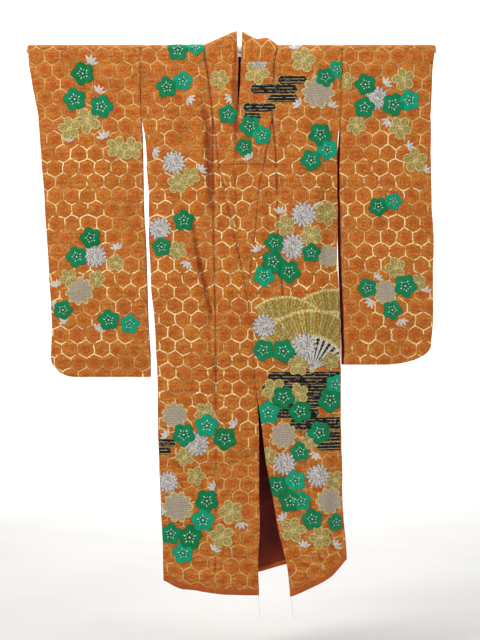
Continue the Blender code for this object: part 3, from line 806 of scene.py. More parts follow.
def overlap_panel(half, finishes):
    """The narrow panel between the front panel's seam and the front opening, cut on a slant at the collar."""
    cloth = Cloth()
    lines = LINES[half.name]
    shares = spread(120, Shape.cell)
    start_level = half.fronts[6].level
    levels = levels_between(start_level, HEM_LEVEL)
    levels = np.sort(np.append(levels, [COLLAR_END - 0.01, COLLAR_END + 0.01]))
    for level in levels:
        start = lines["seam"](level) - half.side * SEWN_GAP
        if level < COLLAR_END:
            edge = lines["collar"](level) + half.side * SEWN_GAP
        else:
            edge = lines["free"](level)
        x = mix(start, edge, shares)
        away = np.minimum(np.abs(x - start), np.abs(x - edge))
        away = np.minimum(away, HEM_LEVEL - level)
        flat = flat_places(np.abs(x - start), level + BEND_LENGTH)
        cloth.row(front_places(x, level, half), FRONT, rounded_edge(away, WALL), flat)
    obj = cloth.build(f"silk_overlap_{half.name}", finishes, creases=(FRONT_CREASES, []))
    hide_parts(f"overlap_{half.name}")
    return obj, cloth.places[-1]


def back_lining(half, finishes):
    """The red lining of the back panel's lower part, seen between the parted fronts."""
    cloth = Cloth()
    centre = CENTRE_BACK + half.side * SEWN_GAP / 2
    shares = spread(280, Shape.cell)
    for level in levels_between(LINING_TOP, HEM_LEVEL):
        side = side_at(half, level) - half.side * 30
        x = mix(centre, side, shares)
        places = back_places(x, level, half)
        cloth.row(places, FRONT, LINING_WALL, flat_places(np.abs(x - centre), level))
    obj = cloth.build(f"silk_lining_back_{half.name}", finishes, SEAM_GAP)
    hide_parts(f"lining_back_{half.name}")
    return obj


def sleeve(half, finishes):
    """A long sleeve, folded over the rod and closed along its bottom and its outer edge below the cuff."""
    cloth = Cloth()
    lines = SLEEVE_LINES[half.name]
    side = half.side
    last = half.sleeves[-1].level
    shares = spread(310, Shape.cell)
    drops = list(levels_between(6, last)[:-3])
    turns = [0.0] * len(drops)
    for angle in np.linspace(0, math.pi / 2, 17):
        drops.append(last + half.corner.height * math.sin(angle))
        turns.append(angle)
    layers = {}
    for way in (FRONT, BACK):
        rows = []
        for drop, turn in zip(drops, turns):
            inner = lines["inner"](drop) + side * SEWN_GAP
            start = inner - (lines["reach"](drop) if way is BACK else 0)
            outer = outer_at(half, min(drop, last)) - side * half.corner.width * (1 - math.cos(turn))
            x = mix(start, outer, shares)
            # The depth is read where this column would be if the corner weren't cut off.
            full = mix(start, outer_at(half, min(drop, last)), shares)
            depth = sleeve_depth(full, np.full(len(x), drop), half, way)
            places = np.stack([x, way[1] * depth, np.full(len(x), -drop)], axis=1)
            ways = np.tile(way, (len(x), 1))
            if drop >= CUFF_END:
                ways[-1] += (side * math.cos(turn), 0, -math.sin(turn))
            away = np.abs(x - start)
            if drop < CUFF_END:
                away = np.minimum(away, np.abs(x - outer))
            if drop == drops[-1]:
                ways[:-1] += DOWN
            flat = flat_places(np.abs(x - inner), drop + BEND_LENGTH)
            rows.append((places, ways, rounded_edge(away, WALL), flat))
        layers[way[1]] = rows
    backs = [cloth.row(*row) for row in layers[BACK[1]][::-1]][::-1]
    x = mix(lines["inner"](0) + side * SEWN_GAP, outer_at(half, 0), shares)
    away = np.minimum(np.abs(x - x[0]), np.abs(x - x[-1]))
    for arc, way, down in over_rod(x):
        cloth.row(arc, way, rounded_edge(away, WALL), flat_places(np.abs(x - x[0]), down))
    fronts = [cloth.row(*row) for row in layers[FRONT[1]]]
    columns = range(len(shares))
    cloth.strip(*([(rows[-1], column) for column in columns] for rows in (fronts, backs)))
    closed = [k for k, drop in enumerate(drops) if drop >= CUFF_END]
    cloth.strip(*([(rows[k], len(shares) - 1) for k in closed] for rows in (fronts, backs)))
    obj = cloth.build(f"silk_sleeve_{half.name}", finishes, creases=(SLEEVE_CREASES, SLEEVE_CREASES))
    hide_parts(f"sleeve_{half.name}")
    return obj


def collar_half(half, lowest):
    """Rows of half of the collar, from its lower end up the front and round to the centre back.

    Each row has its places, ways and x, how far it is from the lower end, and how far down from the top.
    """
    lines = LINES[half.name]
    inward = -half.side
    shares = spread(100, Shape.cell * 0.8)
    rows = []
    for level in levels_between(COLLAR_TOP, lowest)[::-1]:
        line = lines["seam"] if level <= CUFF_END else lines["collar"]
        seam = line(level) + inward * SEWN_GAP
        x = mix(seam, lines["free"](level), shares)
        places = front_places(x, level, half)
        if level >= COLLAR_END:
            places[:, 2] += SEAM_GAP
        rows.append((places, FRONT, x, lowest - level, level + BEND_LENGTH))
    seam = half.fronts[0].seam + inward * SEWN_GAP
    x = mix(seam, half.fronts[0].free, shares)
    heights = Track(half.crest, "across", "height")(shares)
    centres = np.stack([x, np.zeros(len(x)), heights - BEND_RADIUS], axis=1)
    below = rows[-1][0]
    above = centres + FRONT * BEND_RADIUS
    for share in np.linspace(0, 1, 9)[1:-1]:
        down = mix(COLLAR_TOP, 0, share) + BEND_LENGTH
        rows.append((mix(below, above, share), FRONT, x, NO_END, down))
    for angle in np.linspace(math.pi, 0, 13):
        way = np.array((0, math.cos(angle), math.sin(angle)))
        rows.append((centres + way * BEND_RADIUS, way, x, NO_END, BEND_RADIUS * (angle - math.pi / 2)))
    neck_x, neck_y, neck_drop = (Track(half.neck, "along", key) for key in ("x", "y", "drop"))
    corner = 0.2
    for along in np.linspace(0, 1, 25)[1:]:
        turn = smooth(along, 0, corner)
        sewn_x = mix(seam, CENTRE_BACK, smooth(along, corner * 0.5, 1.5) / smooth(1, corner * 0.5, 1.5))
        sewn = np.array((sewn_x, BEND_RADIUS, -turn * (BACK_NECK_DROP - SEAM_GAP)))
        free = np.array((neck_x(along), neck_y(along), -neck_drop(along)))
        lean = (free - sewn) / np.linalg.norm(free - sewn)
        out = np.array((0, lean[2], -lean[1]))
        out /= np.linalg.norm(out)
        bulge = 6 * along * np.sin(np.pi * shares)[:, None]
        places = mix(sewn, free, shares[:, None]) + out * bulge
        ways = mix(BACK, out, shares[:, None])
        ways = ways / np.linalg.norm(ways, axis=1, keepdims=True)
        rows.append((places, ways, mix(seam, seam + inward * 100, shares), NO_END, -along * 150))
    return rows


def collar(name, node, lowest, wall, lifted, finishes):
    """A strip from one front's lower end round the neck to the other's."""
    cloth = Cloth()
    left = collar_half(LEFT, lowest)[-2::-1]
    both = collar_half(RIGHT, lowest) + [(*row[:-1], -row[-1]) for row in left]
    fronts = len(levels_between(COLLAR_TOP, lowest))
    for places, ways, x, ends, down in both:
        away = np.minimum(np.abs(x - x[0]), np.abs(x - x[-1]))
        away = np.minimum(away, ends)
        cloth.row(places, ways, rounded_edge(away, wall), flat_places(np.abs(x - x[0]), down))
    cloth.numeric_ways(range(fronts, len(both) - fronts))
    # The over-collar gets a painted shadow line at its lower end, and COLLAR_SHADES paints shade beside the
    # gap.
    shadow_line_drop = lowest if lowest < COLLAR_END else None
    obj = cloth.build(name, finishes, lifted, (FRONT_CREASES + COLLAR_SHADES, []), shadow_line_drop)
    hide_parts(node)
    return obj


def hem_roll(name, node, line, way, side_end, finishes):
    """A padded roll under a panel's bottom edge, thinner where it meets the other one at a side seam."""
    x = line[:, 0]
    along = np.sign(line[1, 0] - line[0, 0])
    depth = np.full(len(line), ROLL_DEPTH)
    shifts = np.zeros(len(line))
    shifts[0] = SEAM_GAP / 2
    shifts[-1] = WALL if side_end else -SEAM_GAP / 2
    if side_end:
        depth = mix(ROLL_DEPTH_AT_SIDE, ROLL_DEPTH, smooth(np.abs(x - x[-1]), 0, SIDE_ROUNDING))
    centres = line + way * WALL / 2 + DOWN * (ROLL_HEIGHT / 2 + SEAM_GAP - ROLL_REACH / 2)
    centres[:, 0] += shifts * along
    full = 1 + 0.05 * ripple(x, 0 * x, 16, 81) + 0.03 * ripple(x, 0 * x, 7, 82)
    turns = 2 * np.pi * (np.arange(ROLL_SIDES) + 0.5) / ROLL_SIDES
    rings = np.repeat(centres[:, None, :], ROLL_SIDES, axis=1)
    rings[:, :, 1] += (depth * full)[:, None] / 2 * np.cos(turns)
    rings[:, :, 2] += (ROLL_HEIGHT + ROLL_REACH) / 2 * full[:, None] * np.sin(turns)
    grid = np.arange(len(line) * ROLL_SIDES).reshape(-1, ROLL_SIDES)
    nexts = np.roll(grid, -1, axis=1)
    quads = np.stack([grid[:-1], nexts[:-1], nexts[1:], grid[1:]], -1).reshape(-1, 4)
    faces = quads.tolist() + [grid[0, ::-1].tolist(), grid[-1].tolist()]
    if along < 0:
        faces = [face[::-1] for face in faces]
    mesh = bpy.data.meshes.new(name)
    mesh.from_pydata((rings.reshape(-1, 3) * MM).tolist(), [], faces)
    mesh.shade_smooth()
    mesh.set_sharp_from_angle(angle=math.radians(60))
    obj = add_piece(name, mesh, finishes)
    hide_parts(node)
    return obj


def thread(half, finishes):
    """A loose end of sewing thread at the front hem's corner."""
    points = half.thread
    start = HEMS_SHARP[half.name](points[0].x) - ROLL_HEIGHT / 2 * (1 - math.cos(math.pi / 8)) + SEAM_GAP
    route = [Vector((point.x, point.y, -start - point.below)) for point in points]
    padded = [2 * route[0] - route[1], *route, 2 * route[-1] - route[-2]]
    places = []
    for k in range(THREAD_STEPS + 1):
        position = k / THREAD_STEPS * (len(route) - 1)
        index = min(int(position), len(route) - 2)
        t = position - index
        a, b, c, d = padded[index : index + 4]
        even = b * 2 + (c - a) * t + (2 * a - 5 * b + 4 * c - d) * t**2 + (3 * b - a - 3 * c + d) * t**3
        places.append(even / 2 * MM)
    curve = bpy.data.curves.new(f"loose_thread_{half.name}", "CURVE")
    curve.dimensions = "3D"
    curve.bevel_depth = THREAD_DIAMETER / 2 * MM
    curve.bevel_resolution = 3
    curve.use_fill_caps = True
    spline = curve.splines.new("POLY")
    spline.points.add(len(places) - 1)
    for point, place in zip(spline.points, places):
        point.co = (*place, 1)
    spline.use_smooth = True
    obj = add_piece(curve.name, curve, finishes)
    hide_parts(f"thread_{half.name}")
    length = sum((b - a).length for a, b in zip(places, places[1:]))
    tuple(places[0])
    return obj


def straight_line(table, key, column):
    """The straight lines between a table's rows, as the part reads it."""
    at, values = np.array([(getattr(row, key), getattr(row, column)) for row in table], float).T
    return lambda value: float(np.interp(value, at, values))


HEMS_SHARP = {half.name: straight_line(half.hem, "x", "drop") for half in HALVES}

# Patterns laid on the silk. size is a flower's radius. Each list is drawn from first to last.
Motif = namedtuple("Motif", "kind x drop size")
FRONT_MOTIFS = {
    ("body", "right"): [
        Motif("plum", -186, 4, 34),
        Motif("plum", -220, 119, 34),
        Motif("plum", -167, 531, 34),
        Motif("plum", -236, 612, 31),
        Motif("plum", -31, 203, 31),
        Motif("plum", -40, 1204, 37),
        Motif("plum", -167, 1192, 37),
        Motif("plum", -96, 1396, 37),
        Motif("plum", -149, 1508, 40),
        Motif("plum", -208, 1499, 34),
        Motif("teal", -130, -8, 28),
        Motif("teal", -170, 100, 31),
        Motif("teal", -96, 1164, 37),
        Motif("teal", -108, 1455, 37),
        Motif("teal", -170, 1557, 34),
        Motif("silver", -198, 352, 37),
        Motif("silver", -242, 556, 37),
        Motif("silver", -127, 1220, 40),
        Motif("silver", -217, 1340, 34),
        Motif("gold", -186, 417, 34),
        Motif("gold", -146, 395, 31),
        Motif("gold", -186, 624, 31),
        Motif("gold", -56, 94, 31),
        Motif("gold", -102, 1123, 34),
        Motif("gold", -164, 1260, 31),
        Motif("gold", -130, 1319, 31),
        Motif("gold", -22, 1430, 40),
        Motif("gold", -50, 1505, 40),
        Motif("leaf", -264, 317, 25),
        Motif("leaf", -155, 658, 25),
        Motif("leaf", -155, 153, 25),
        Motif("leaf", -118, 379, 25),
        Motif("leaf", -22, 150, 22),
        Motif("leaf", 9, 1461, 25),
        Motif("leaf", -74, 1551, 25),
        Motif("leaf", -223, 1424, 25),
        Motif("leaf", -6, 1164, 25),
        Motif("leaf", -217, 1198, 25),
        Motif("leaf", -71, 1356, 25),
        Motif("woven", -195, 1133, 43),
        Motif("woven", -186, 1415, 50),
    ],
    ("body", "left"): [
        Motif("gold", 59, 73, 40),
        Motif("gold", 202, 35, 40),
        Motif("gold", 273, 510, 40),
        Motif("gold", 146, 547, 34),
        Motif("gold", 226, 578, 37),
        Motif("gold", 186, 978, 34),
        Motif("gold", 288, 965, 28),
        Motif("gold", 112, 1055, 40),
        Motif("gold", 186, 1065, 34),
        Motif("gold", 223, 1210, 28),
        Motif("gold", 301, 1334, 31),
        Motif("gold", 170, 1486, 40),
        Motif("gold", 254, 1508, 37),
        Motif("gold", 93, 1257, 28),
        Motif("silver", 65, 38, 28),
        Motif("silver", 202, 513, 40),
        Motif("silver", 170, 612, 40),
        Motif("silver", 81, 857, 37),
        Motif("silver", 205, 916, 40),
        Motif("silver", 143, 1282, 37),
        Motif("silver", 248, 1319, 37),
        Motif("plum", 37, 240, 34),
        Motif("plum", 19, 305, 28),
        Motif("plum", 270, 88, 31),
        Motif("plum", 254, 265, 37),
        Motif("plum", 226, 345, 34),
        Motif("plum", 112, 600, 31),
        Motif("plum", 108, 658, 37),
        Motif("plum", 158, 689, 37),
        Motif("plum", 226, 631, 31),
        Motif("plum", 78, 931, 34),
        Motif("plum", 140, 934, 37),
        Motif("plum", 140, 1077, 37),
        Motif("plum", 285, 1086, 40),
        Motif("plum", 192, 1120, 37),
        Motif("plum", 251, 1185, 37),
        Motif("plum", 192, 1244, 31),
        Motif("plum", 121, 1350, 34),
        Motif("plum", 161, 1396, 37),
        Motif("plum", 229, 1452, 34),
        Motif("plum", 304, 1464, 28),
        Motif("teal", 74, 268, 31),
        Motif("teal", 307, 63, 28),
        Motif("teal", 276, 311, 34),
        Motif("teal", 81, 702, 34),
        Motif("teal", 93, 1123, 37),
        Motif("teal", 301, 1037, 31),
        Motif("teal", 177, 1334, 34),
        Motif("teal", 195, 1396, 31),
        Motif("leaf", 37, 342, 25),
        Motif("leaf", 192, 175, 25),
        Motif("leaf", 288, 181, 25),
        Motif("leaf", 180, 1, 25),
        Motif("leaf", 130, 510, 25),
        Motif("leaf", 242, 476, 25),
        Motif("leaf", 62, 627, 25),
        Motif("leaf", 202, 1539, 25),
        Motif("leaf", 298, 1539, 25),
        Motif("leaf", 143, 1452, 25),
        Motif("leaf", 242, 1247, 25),
        Motif("woven", 248, 135, 53),
        Motif("woven", 279, 640, 37),
        Motif("woven", 140, 1195, 43),
        Motif("woven", 282, 1396, 43),
    ],
    ("sleeve", "right"): [
        Motif("plum", -480, 76, 37),
        Motif("plum", -505, 156, 37),
        Motif("plum", -422, 178, 37),
        Motif("plum", -456, 584, 34),
        Motif("plum", -499, 643, 34),
        Motif("plum", -542, 807, 31),
        Motif("plum", -400, 838, 34),
        Motif("leaf", -459, 45, 28),
        Motif("leaf", -434, 135, 25),
        Motif("leaf", -530, 286, 25),
        Motif("leaf", -412, 277, 28),
        Motif("leaf", -555, 733, 25),
        Motif("leaf", -570, 779, 25),
        Motif("leaf", -530, 844, 25),
        Motif("leaf", -434, 872, 25),
        Motif("leaf", -372, 621, 25),
        Motif("gold", -465, 221, 43),
        Motif("gold", -521, 246, 37),
        Motif("gold", -372, 305, 37),
        Motif("gold", -329, 308, 37),
        Motif("gold", -524, 708, 31),
        Motif("gold", -437, 711, 28),
        Motif("gold", -378, 662, 28),
        Motif("silver", -443, 640, 37),
        Motif("teal", -335, 851, 31),
        Motif("woven", -490, 748, 46),
    ],
    ("sleeve", "left"): [
        Motif("gold", 335, 100, 28),
        Motif("gold", 512, 94, 37),
        Motif("gold", 366, 237, 31),
        Motif("gold", 502, 243, 37),
        Motif("gold", 549, 345, 40),
        Motif("gold", 487, 677, 34),
        Motif("gold", 558, 724, 28),
        Motif("plum", 394, 110, 34),
        Motif("plum", 391, 181, 34),
        Motif("plum", 480, 172, 37),
        Motif("plum", 434, 488, 31),
        Motif("plum", 400, 739, 31),
        Motif("plum", 518, 733, 37),
        Motif("plum", 477, 807, 31),
        Motif("silver", 431, 153, 37),
        Motif("teal", 530, 159, 34),
        Motif("teal", 480, 472, 28),
        Motif("leaf", 453, 110, 25),
        Motif("leaf", 524, 305, 25),
        Motif("leaf", 468, 221, 25),
        Motif("leaf", 577, 379, 25),
        Motif("leaf", 415, 779, 25),
        Motif("leaf", 505, 835, 25),
        Motif("leaf", 577, 751, 25),
        Motif("leaf", 428, 711, 22),
        Motif("woven", 456, 751, 40),
    ],
}

# Clusters on the back, which the photo doesn't show, filled with seeded flowers.
Cluster = namedtuple("Cluster", "part half x drop width height count")
BACK_CLUSTERS = [
    Cluster("body", "right", -150, 150, 90, 90, 9),
    Cluster("body", "right", -90, 560, 80, 70, 7),
    Cluster("body", "right", -120, 1080, 90, 120, 12),
    Cluster("body", "right", -110, 1420, 100, 150, 20),
    Cluster("body", "left", 170, 220, 100, 110, 11),
    Cluster("body", "left", 110, 700, 80, 80, 8),
    Cluster("body", "left", 190, 1020, 100, 110, 12),
    Cluster("body", "left", 180, 1350, 120, 170, 22),
    Cluster("sleeve", "right", -470, 190, 100, 110, 10),
    Cluster("sleeve", "right", -440, 720, 110, 90, 11),
    Cluster("sleeve", "left", 470, 200, 90, 100, 10),
    Cluster("sleeve", "left", 450, 680, 100, 100, 11),
]
CLUSTER_KINDS = ("leaf", "leaf", "gold", "plum", "woven", "plum", "silver", "teal", "gold", "plum")
CLUSTER_SIZES = {"leaf": 26, "woven": 44, "silver": 38}
CLUSTER_SIZE = 36
CLUSTER_SPACING = 42
CLUSTER_TRIES = 12

# Bands of mist in black and gold, and folding fans. turn is in degrees.
Band = namedtuple("Band", "part half front x drop length height")
BANDS = [
    Band("body", "left", True, 168, 96, 92, 30),
    Band("body", "left", True, 112, 124, 150, 34),
    Band("body", "left", True, 138, 154, 96, 26),
    Band("body", "left", True, 66, 182, 104, 32),
    Band("body", "left", True, 44, 210, 58, 24),
    Band("body", "left", True, 214, 1016, 250, 42),
    Band("body", "left", True, 176, 1052, 210, 40),
    Band("body", "left", True, 226, 1088, 240, 44),
    Band("body", "left", True, 168, 1124, 170, 38),
    Band("body", "left", True, 252, 1158, 190, 44),
    Band("body", "left", True, 270, 1196, 140, 36),
    Band("body", "left", True, 290, 1228, 100, 30),
    Band("body", "right", True, -226, 1218, 70, 26),
    Band("body", "right", True, -232, 1244, 56, 24),
    Band("body", "right", False, -120, 980, 170, 40),
    Band("body", "right", False, -160, 1016, 150, 40),
    Band("body", "left", False, 120, 300, 130, 34),
    Band("body", "left", False, 170, 332, 150, 36),
    Band("body", "left", False, 200, 1120, 190, 42),
    Band("body", "left", False, 240, 1158, 160, 42),
]
Fan = namedtuple("Fan", "part half front x drop size turn")
FANS = [
    Fan("body", "left", True, 292, 900, 160, 16),
    Fan("body", "left", True, 146, 912, 150, -22),
    Fan("body", "left", True, 228, 992, 190, 0),
    Fan("body", "left", False, 150, 860, 150, -12),
    Fan("body", "left", False, 240, 930, 140, 16),
]


def deselect_all():
    for obj in bpy.context.view_layer.objects:
        obj.select_set(False)


def select_only(obj):
    deselect_all()
    obj.select_set(True)
    bpy.context.view_layer.objects.active = obj


@contextmanager
def edit_mode(action=None):
    """Edit mode on the active object, with everything selected or not where the action says so."""
    bpy.ops.object.mode_set(mode="EDIT")
    if action:
        bpy.ops.mesh.select_all(action=action)
    yield
    bpy.ops.object.mode_set(mode="OBJECT")


def start_disc(corners, reach=None):
    """A flat disc to be shaped, facing up. reach gives its outline's distance at each angle."""
    deselect_all()
    bpy.ops.mesh.primitive_circle_add(vertices=corners, radius=1.0, fill_type="NGON")
    disc = bpy.context.object
    if reach is not None:
        for vertex in disc.data.vertices:
            far = reach(math.atan2(vertex.co.y, vertex.co.x))
            vertex.co.x *= far
            vertex.co.y *= far
    return disc


def round_lobes(count, centre):
    """The outline of round petals set in a ring, with their middles at the given distance."""
    radius = 1 - centre

    def reach(angle):
        part = 2 * math.pi / count
        away = (angle + part / 2) % part - part / 2
        return centre * math.cos(away) + math.sqrt(max(radius**2 - (centre * math.sin(away)) ** 2, 0))

    return reach


def raise_steps(obj, steps):
    """Raises the disc's face step by step. Each step is (share of the outline, height)."""
    bpy.context.view_layer.objects.active = obj
    share, height = 1.0, 0.0
    with edit_mode("SELECT"):
        for next_share, next_height in steps:
            bpy.ops.mesh.extrude_region_move(TRANSFORM_OT_translate={"value": (0, 0, next_height - height)})
            ratio = next_share / share
            bpy.ops.transform.resize(value=(ratio, ratio, 1), center_override=(0, 0, 0))
            share, height = next_share, next_height
        bpy.ops.mesh.poke()
        bpy.ops.mesh.select_all(action="DESELECT")
    # The underside is left open, because it would stand out of the silk where that has a crease.
    for face in obj.data.polygons:
        face.select = face.normal.z < -0.5
    with edit_mode():
        bpy.ops.mesh.delete(type="ONLY_FACE")


def set_out(obj, size, place):
    """Scales a shaped piece and moves it to its place."""
    obj.scale = size
    obj.location = place
    bpy.ops.object.transform_apply(location=True, rotation=False, scale=True)


def paint_faces(obj, pick):
    """Gives each face the number that pick says for its middle."""
    for face in obj.data.polygons:
        face.material_index = pick(face.center)


def spin_copies(obj, count, sweep=360.0):
    """Repeats the mesh round the middle, over the whole turn or a part of it."""
    steps = count - 1
    angle = math.radians(sweep) * (steps / count if sweep == 360.0 else 1.0)
    select_only(obj)
    with edit_mode("SELECT"):
        bpy.ops.mesh.spin(steps=steps, dupli=True, angle=angle, center=(0, 0, 0), axis=(0, 0, 1))


def seeds(count, reach, length, width, rise, kind):
    """Small raised seeds round the middle of a flower."""
    deselect_all()
    bpy.ops.mesh.primitive_uv_sphere_add(segments=6, ring_count=4, radius=1)
    obj = bpy.context.object
    set_out(obj, (length, width, 0.4), (reach, 0, rise))
    paint_faces(obj, lambda middle: kind)
    if reach:
        spin_copies(obj, count)
    return obj


def taken(*objects):
    """The meshes of these objects as one set of arrays, and the objects removed."""
    places, faces, kinds = [], [], []
    for obj in objects:
        start = len(places)
        places += [tuple(vertex.co) for vertex in obj.data.vertices]
        faces += [[start + corner for corner in face.vertices] for face in obj.data.polygons]
        kinds += [face.material_index for face in obj.data.polygons]
        mesh = obj.data
        bpy.data.objects.remove(obj)
        bpy.data.meshes.remove(mesh)
    return np.array(places), faces, np.array(kinds)


# Finishes of the patterns, in the order of their face numbers.
PATTERN_FINISHES = [
    "green_petal_silk",
    "green_edge_silk",
    "gold_petal_thread",
    "pale_gold_thread",
    "silver_thread",
    "white_thread_knots",
    "woven_silver_silk",
    "black_mist_silk",
    "white_silk_thread",
    "brown_gold_fan_paper",
    "grey_thread",
]
(GREEN, GREEN_EDGE, GOLD, PALE_GOLD, SILVER, KNOTS, WOVEN, BLACK, WHITE, SHADED_FAN_PLEAT, SILVER_SHADE_GROUND) = range(
    len(PATTERN_FINISHES)
)


def five_petals():
    """A plum blossom with round petals, a darker rim and seeds round its middle."""
    outline = round_lobes(5, 0.57)
    disc = start_disc(50, outline)
    edge = [(1, 0.4), (0.95, 0.6), (0.85, 0.9), (0.74, 1.0)]
    raise_steps(disc, edge + [(0.62, 1.05), (0.50, 1.0), (0.38, 0.85), (0.26, 0.7), (0.13, 0.5)])

    def pick(middle):
        edge = PETAL_EDGE * outline(math.atan2(middle.y, middle.x))
        return GREEN_EDGE if middle.xy.length > edge else GREEN

    paint_faces(disc, pick)
    for vertex in disc.data.vertices:
        between = abs(math.sin(2.5 * math.atan2(vertex.co.y, vertex.co.x))) ** 6
        if vertex.co.z > 0.5:
            vertex.co.z -= 0.45 * between * (vertex.co.z - 0.3)
    long_seeds = seeds(5, 0.40, 0.105, 0.05, 1.0, KNOTS)
    short_seeds = seeds(5, 0.31, 0.06, 0.045, 0.9, KNOTS)
    short_seeds.rotation_euler.z = math.radians(36)
    bpy.ops.object.transform_apply(location=False, rotation=True, scale=False)
    return taken(disc, long_seeds, short_seeds, seeds(1, 0, 0.085, 0.085, 0.7, KNOTS))


def outlined_petals():
    """A gold blossom of five separate petals, each with a pale edge."""
    petal = start_disc(18)
    raise_steps(petal, [(1, 0.35), (0.95, 0.75), (0.80, 0.75), (0.72, 0.45), (0.40, 0.70)])
    paint_faces(petal, lambda middle: PALE_GOLD if middle.xy.length > 0.78 and middle.z > 0.1 else GOLD)
    set_out(petal, (0.42, 0.38, 1), (0.58, 0, 0))
    spin_copies(petal, 5)
    heart = start_disc(12)
    raise_steps(heart, [(1, 0.9), (0.8, 1.15), (0.4, 0.9)])
    paint_faces(heart, lambda middle: PALE_GOLD)
    set_out(heart, (0.2, 0.2, 1), (0, 0, 0))
    return taken(petal, heart, seeds(5, 0.36, 0.09, 0.035, 0.9, PALE_GOLD))


def ray_petals():
    """A chrysanthemum with two rounds of narrow silver petals on a darker ground, painted as the shade
    between the petals.
    """
    parts = []
    for count, reach, length, width, rise in ((15, 0.68, 0.32, 0.135, 0.3), (10, 0.40, 0.24, 0.125, 0.75)):
        petal = start_disc(10)
        raise_steps(petal, [(1, rise), (0.85, rise + 0.35), (0.4, rise + 0.15)])
        paint_faces(petal, lambda middle: SILVER)
        set_out(petal, (length, width, 1), (reach, 0, 0))
        spin_copies(petal, count)
        parts.append(petal)
    base = start_disc(30)
    raise_steps(base, [(1, 0.1), *((share, 0.15) for share in (0.97, 0.8, 0.62, 0.44, 0.25))])
    # The ground shows between the petals in a darker silver, as painted shade.
    paint_faces(base, lambda middle: SILVER_SHADE_GROUND)
    set_out(base, (0.88, 0.88, 1), (0, 0, 0))
    heart = start_disc(12)
    raise_steps(heart, [(1, 1.1), (0.8, 1.4), (0.4, 1.2)])
    paint_faces(heart, lambda middle: WHITE)
    set_out(heart, (0.17, 0.17, 1), (0, 0, 0))
    return taken(base, *parts, heart)


def woven_round():
    """A wide round flower in woven silver and beige, with a scalloped gold edge."""
    outline = round_lobes(10, 0.80)
    disc = start_disc(60, outline)
    edge = [(1, 0.35), (0.97, 0.6), (0.90, 0.6), (0.87, 0.4), (0.76, 0.55)]
    raise_steps(disc, edge + [(0.64, 0.65), (0.52, 0.65), (0.40, 0.7), (0.28, 0.7), (0.14, 0.7)])

    def pick(middle):
        share = middle.xy.length / outline(math.atan2(middle.y, middle.x))
        return PALE_GOLD if share > 0.88 else WOVEN

    paint_faces(disc, pick)
    return taken(disc)


def leaf_tips():
    """Four pointed leaves in white, spread like a hand."""
    leaf = start_disc(10)
    for vertex in leaf.data.vertices:
        vertex.co.y *= 1 - 0.55 * vertex.co.x
    raise_steps(leaf, [(1, 0.3), (0.85, 0.6), (0.3, 0.75)])
    paint_faces(leaf, lambda middle: WHITE)
    set_out(leaf, (0.48, 0.17, 1), (0.55, 0, 0))
    spin_copies(leaf, 4, 110.0)
    return taken(leaf)


def folding_fan():
    """An open folding fan: pleated gold paper above, with painted shade on one face of each pleat, white ribs
    on black below, and a pale edge.
    """
    ribs = start_disc(4)
    blade = [(-0.27, -0.007), (0.27, -0.027), (0.27, 0.027), (-0.27, 0.007)]
    for vertex, (x, y) in zip(ribs.data.vertices, blade):
        vertex.co = (x, y, 0)
    raise_steps(ribs, [(1, 0.6), (0.97, 1.0)])
    with edit_mode("SELECT"):
        bpy.ops.mesh.subdivide(number_cuts=3)
    paint_faces(ribs, lambda middle: WHITE)
    set_out(ribs, (1, 1, 1), (0.28, 0, 0))
    spin_copies(ribs, FAN_RIBS, FAN_SWEEP)
    # The profile from the pivot outwards, as (reach, rise).
    inner = [(0.03, 0.0), (0.032, 0.2), *((reach, 0.3) for reach in (0.12, 0.22, 0.32, 0.42, 0.52))]
    leaf = [(0.53, 0.7), (0.575, 0.9), *((reach, 0.8) for reach in (0.64, 0.70, 0.76, 0.82, 0.88))]
    profile = inner + leaf + [(0.94, 0.9), (0.988, 0.8), (0.99, 0.0)]
    mesh = bpy.data.meshes.new("paper")
    edges = [(k, k + 1) for k in range(len(profile) - 1)]
    mesh.from_pydata([(reach, 0, rise) for reach, rise in profile], edges, [])
    paper = bpy.data.objects.new("paper", mesh)
    bpy.context.scene.collection.objects.link(paper)
    select_only(paper)
    pleats = 2 * FAN_RIBS
    angle = math.radians(FAN_PAPER_SWEEP)
    with edit_mode("SELECT"):
        bpy.ops.mesh.spin(steps=pleats, angle=angle, center=(0, 0, 0), axis=(0, 0, 1))
        bpy.ops.mesh.select_all(action="SELECT")
        bpy.ops.mesh.normals_make_consistent(inside=False)

    def pleat_at(place):
        return abs(math.degrees(math.atan2(place.y, place.x))) / FAN_PAPER_SWEEP * pleats

    # Every other radius is a valley, and the two straight edges go down to the cloth.
    for vertex in paper.data.vertices:
        step = round(pleat_at(vertex.co))
        if step in (0, pleats):
            vertex.co.z = 0
        elif step % 2 and vertex.co.xy.length > 0.55:
            vertex.co.z *= 0.45

    def pick(middle):
        reach = middle.xy.length
        if reach < 0.52:
            return BLACK
        if reach > 0.93 or reach < 0.58:
            return PALE_GOLD
        # One face of each pleat is painted in a browner, darker gold as its shade.
        return GOLD if int(pleat_at(middle)) % 2 else SHADED_FAN_PLEAT

    paint_faces(paper, pick)
    if sum(face.normal.z * face.area for face in paper.data.polygons) < 0:
        paper.data.flip_normals()
    return taken(ribs, paper, seeds(1, 0, 0.05, 0.05, 1.0, PALE_GOLD))


